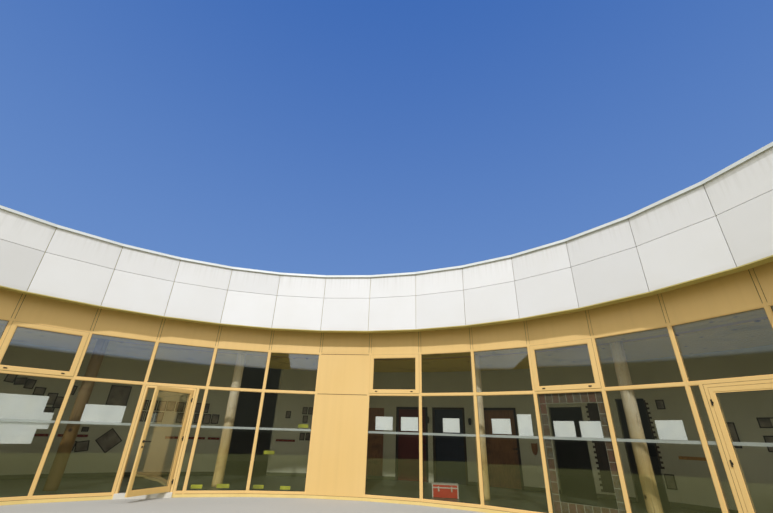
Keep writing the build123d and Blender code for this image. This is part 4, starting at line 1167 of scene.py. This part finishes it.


# --- Seals of the panels and painted shadows at the joints -------------------
# Black rubber closes the open joints between panels and posts. A brown line of painted shadow runs
# along the solid bay's joints, where each door frame meets the posts and the transom, and where the
# sill rails meet the plinth, standing for the shade in those joints.
PANEL_JOINT, DOOR_FRAME_EDGE, SPANDREL_HEAD = 0.008, 0.449, 4.59
PANEL_SEAL, SOLID_BAY_SEAL, SOLID_BAY_LINE = (0.009, 0.02), (0.016, 0.03), (0.0024, 0.0038)
LINE_EDGE, LINE, THRESHOLD_TOP, DOOR_POST_WIDTH, BULGE = 0.003, (-0.0004, 0.001), 0.03, 0.06, 0.0006
SILL_EDGE, SILL_LINE = 0.672, ((0.0602, 0.0672), -0.006, -0.0002)


def pressed_seal(bay, x_range, level_range, near, far):
    """Seal or painted shadow strip pressed into a joint, its face bulged."""
    seal = flat_start("seal", x_range, level_range, near)
    subdivide(1)
    middle = (sum(x_range) / 2, sum(level_range) / 2)
    tall = level_range[1] - level_range[0] > x_range[1] - x_range[0]
    for vertex in seal.data.vertices:
        offset = vertex.co.x - middle[0] if tall else vertex.co.z - middle[1]
        vertex.co.y -= BULGE if abs(offset) < 1e-5 else 0
    apply_modifier(seal, "SOLIDIFY", thickness=far - near, offset=-1)
    seal.data.transform(bay_frame(bay))
    return seal


seals, shadow_lines = [], []
for bay in range(BAYS):
    for side in (-1, 1):
        span = sorted((side * POST_EDGE, side * (POST_EDGE - PANEL_JOINT)))
        seals.append(pressed_seal(bay, span, (OVER_HEAD, SPANDREL_HEAD), *PANEL_SEAL))
for low in (UNDER_TRANSOM, UNDER_HEAD):
    joint = (low, low + PANEL_JOINT)
    seals.append(pressed_seal(SOLID_BAY, FULL_BAY, joint, *SOLID_BAY_SEAL))
    shadow_lines.append(pressed_seal(SOLID_BAY, FULL_BAY, shrunk(joint, -LINE_EDGE), *SOLID_BAY_LINE))
for bay, side in ((LEFT_DOOR_BAY, 1), (RIGHT_DOOR_BAY, -1)):
    outer, inner = -side * POST_EDGE, side * DOOR_FRAME_EDGE
    for edge in (outer + side * LINE_EDGE, inner - side * LINE_EDGE):
        shadow_lines.append(pressed_seal(bay, (edge - LINE_EDGE, edge + LINE_EDGE),
                                   (THRESHOLD_TOP, UNDER_TRANSOM), *LINE))
    shadow_lines.append(pressed_seal(bay, sorted((outer, inner)),
                               (UNDER_TRANSOM - 2 * LINE_EDGE, UNDER_TRANSOM), *LINE))
    shadow_lines.append(pressed_seal(bay, (inner + side * DOOR_POST_WIDTH, side * POST_EDGE)[::side],
                               *SILL_LINE))
for bay in range(BAYS):
    if bay not in (LEFT_DOOR_BAY, RIGHT_DOOR_BAY):
        shadow_lines.append(pressed_seal(bay, (-SILL_EDGE, SILL_EDGE), *SILL_LINE))
# Brown painted shadow for the joints, laid on as thin strips.
painted_joint_shadow = dull_metal("painted_joint_shadow", paint(120, 84, 44), paint(96, 66, 34), 0.7, 0.0)
finished(joined("panel_seals", seals), black_rubber)
finished(joined("painted_joint_shadows", shadow_lines), painted_joint_shadow)


# --- Window boards in the rooms ----------------------------------------------
# Painted hardboard panels fit the inner reveals of the outer windows and keep the rooms dark.
# A shallow rim is planted round each.
WINDOWLESS_BAYS = (3, 4, 9)
REVEAL, REVEAL_LEVELS, REVEAL_DEPTH = (-1.095, 1.095), (0.935, 3.34), 9.52
PANEL_THICKNESS, RIM_WIDTH, RIM_DEPTH = 0.012, 0.06, 0.005
board = flat_start("window_board", REVEAL, REVEAL_LEVELS, REVEAL_DEPTH)
open_mesh()
draw_out(y=-PANEL_THICKNESS)
bpy.ops.mesh.inset(thickness=RIM_WIDTH)
draw_out(y=RIM_DEPTH)
close_mesh()
window_boards = []
for bay in range(BAYS):
    if bay not in WINDOWLESS_BAYS:
        keep(window_boards, copied(board), bay_frame(bay))
bpy.data.objects.remove(board)
board_paint = wall_finish("board_paint", paint(70, 70, 66), paint(58, 58, 54))
finished(joined("window_boards", window_boards), board_paint)


# --- Floor, light and camera -------------------------------------------------
# A plain pale floor, a soft key from behind the camera and an even fill, and the photograph's
# view. The panes see the floor and the sky darker than the camera does, as in a closed courtyard.
COURTYARD_EDGE = 8.6
KEY_TURN, KEY_HEIGHT, KEY_POWER, KEY_SPREAD = radians(-4), radians(41), 2.08, radians(2)
FILL_POSITIONS, FILL_OFFSET, FILL_LEVEL, FILL_POWER = (1, 3.2, 5.4, 7.6, 9.8, 12), 1.7, 0.4, 5.0
CAMERA_PLACE, CAMERA_LENS, SENSOR_WIDTH = (2.139, -12.145, 1.42), 17.33, 36
CAMERA_TURN, CAMERA_PITCH, CAMERA_ROLL = radians(10.15), radians(90 + 25.38), radians(1.86)


def floor_finish():
    """Pale floor for the camera, greener in the light that it gives back."""
    material, tree, shader = new_finish("floor_paint", 0.8)
    shader.inputs["Specular IOR Level"].default_value = 0.0
    place = object_place(tree)
    pale = mixed(tree, noise(tree, place, 3.0, 3.0), paint(182, 180, 174), paint(188, 186, 180))
    rays = add_node(tree, "LightPath").outputs
    reach = add_node(tree, "VectorMath", {0: place, 1: COURTYARD_CENTRE},
                     operation="DISTANCE").outputs["Value"]
    mirrored = mixed(tree, worked(tree, "GREATER_THAN", reach, COURTYARD_EDGE),
                     (0.17, 0.17, 0.07, 1), (0.02, 0.02, 0.018, 1))
    bounced = mixed(tree, rays["Is Glossy Ray"], (0.29, 0.28, 0.16, 1), mirrored)
    set_colour(tree, shader, mixed(tree, rays["Is Camera Ray"], bounced, pale))
    return material


def put_up(name, data):
    """Light or camera put into the scene."""
    made = bpy.data.objects.new(name, data)
    bpy.context.scene.collection.objects.link(made)
    return made


bpy.ops.mesh.primitive_plane_add(size=400, location=(0, 0, -0.001))
ground = bpy.context.object
ground.name = "pale_floor"
ground.data.materials.append(floor_finish())

key_data = bpy.data.lights.new("key", "SUN")
key_data.energy = KEY_POWER
key_data.angle = KEY_SPREAD
key_data.color = (1.0, 1.0, 1.03)
key = put_up("key", key_data)
key_way = Vector((sin(KEY_TURN) * cos(KEY_HEIGHT), cos(KEY_TURN) * cos(KEY_HEIGHT),
                  -sin(KEY_HEIGHT)))
key.rotation_euler = key_way.to_track_quat("-Z", "Y").to_euler()

for position in FILL_POSITIONS:
    glow_data = bpy.data.lights.new("corridor_fill", "AREA")
    glow_data.energy = FILL_POWER
    glow_data.size = 1.6
    glow_data.color = (1.0, 0.97, 0.9)
    glow = put_up("corridor_fill", glow_data)
    glow.visible_camera = glow.visible_glossy = False
    glow.location = fold_point(position, FILL_OFFSET, FILL_LEVEL)
    glow.rotation_euler = (pi, 0, 0)

world = bpy.data.worlds.new("studio")
bpy.context.scene.world = world
world.use_nodes = True
sky = world.node_tree
fill = sky.nodes["Background"]
way = add_node(sky, "TexCoord").outputs["Generated"]
across, _, height = add_node(sky, "SeparateXYZ", {0: way}).outputs
high = mixed(sky, stretched(sky, height, 0.6, 1.0), (1.05, 1.04, 0.99, 1), (0.6, 0.64, 0.7, 1))
soft = mixed(sky, stretched(sky, height, 0.04, 0.24), (0.34, 0.335, 0.29, 1), high)
open_sky = stretched(sky, reach_along(sky, way, (0.0165, 0, 1)), 0.139, 0.145)
covered = worked(sky, "MINIMUM", *(worked(sky, "LESS_THAN", reach_along(sky, way, edge), 0.0)
                                   for edge in ((-0.0233, 0.0276, 0.0421),
                                                (0.0382, 0.005, 0.0104))))
clouds = stretched(sky, noise(sky, pulled(sky, way, (1, 1, 2.5)), 0.22, 4.0), 0.42, 0.66)
cloudy = mixed(sky, clouds, (0.62, 0.75, 1.02, 1), (0.96, 0.98, 1.0, 1))
veiled = mixed(sky, stretched(sky, across, -0.85, -0.4), (0.38, 0.44, 0.5, 1), cloudy)
uncovered = worked(sky, "MULTIPLY", open_sky, worked(sky, "SUBTRACT", 1.0, covered))
mirrored = mixed(sky, uncovered, (0.06, 0.062, 0.052, 1), veiled)
rays = add_node(sky, "LightPath").outputs
lit = mixed(sky, rays["Is Glossy Ray"], soft, mirrored)
backdrop = mixed(sky, stretched(sky, height, 0.0, 0.9), paint(122, 158, 212), paint(62, 106, 180))
sky.links.new(mixed(sky, rays["Is Camera Ray"], lit, backdrop), fill.inputs["Color"])
fill.inputs["Strength"].default_value = 1.0

camera_data = bpy.data.cameras.new("camera")
camera_data.lens = CAMERA_LENS
camera_data.sensor_width = SENSOR_WIDTH
camera = put_up("camera", camera_data)
camera.matrix_world = (Matrix.Translation(CAMERA_PLACE) @ Matrix.Rotation(CAMERA_TURN, 4, "Z")
                       @ Matrix.Rotation(CAMERA_PITCH, 4, "X")
                       @ Matrix.Rotation(CAMERA_ROLL, 4, "Z"))
bpy.context.scene.camera = camera
bpy.context.scene.view_settings.view_transform = "Standard"
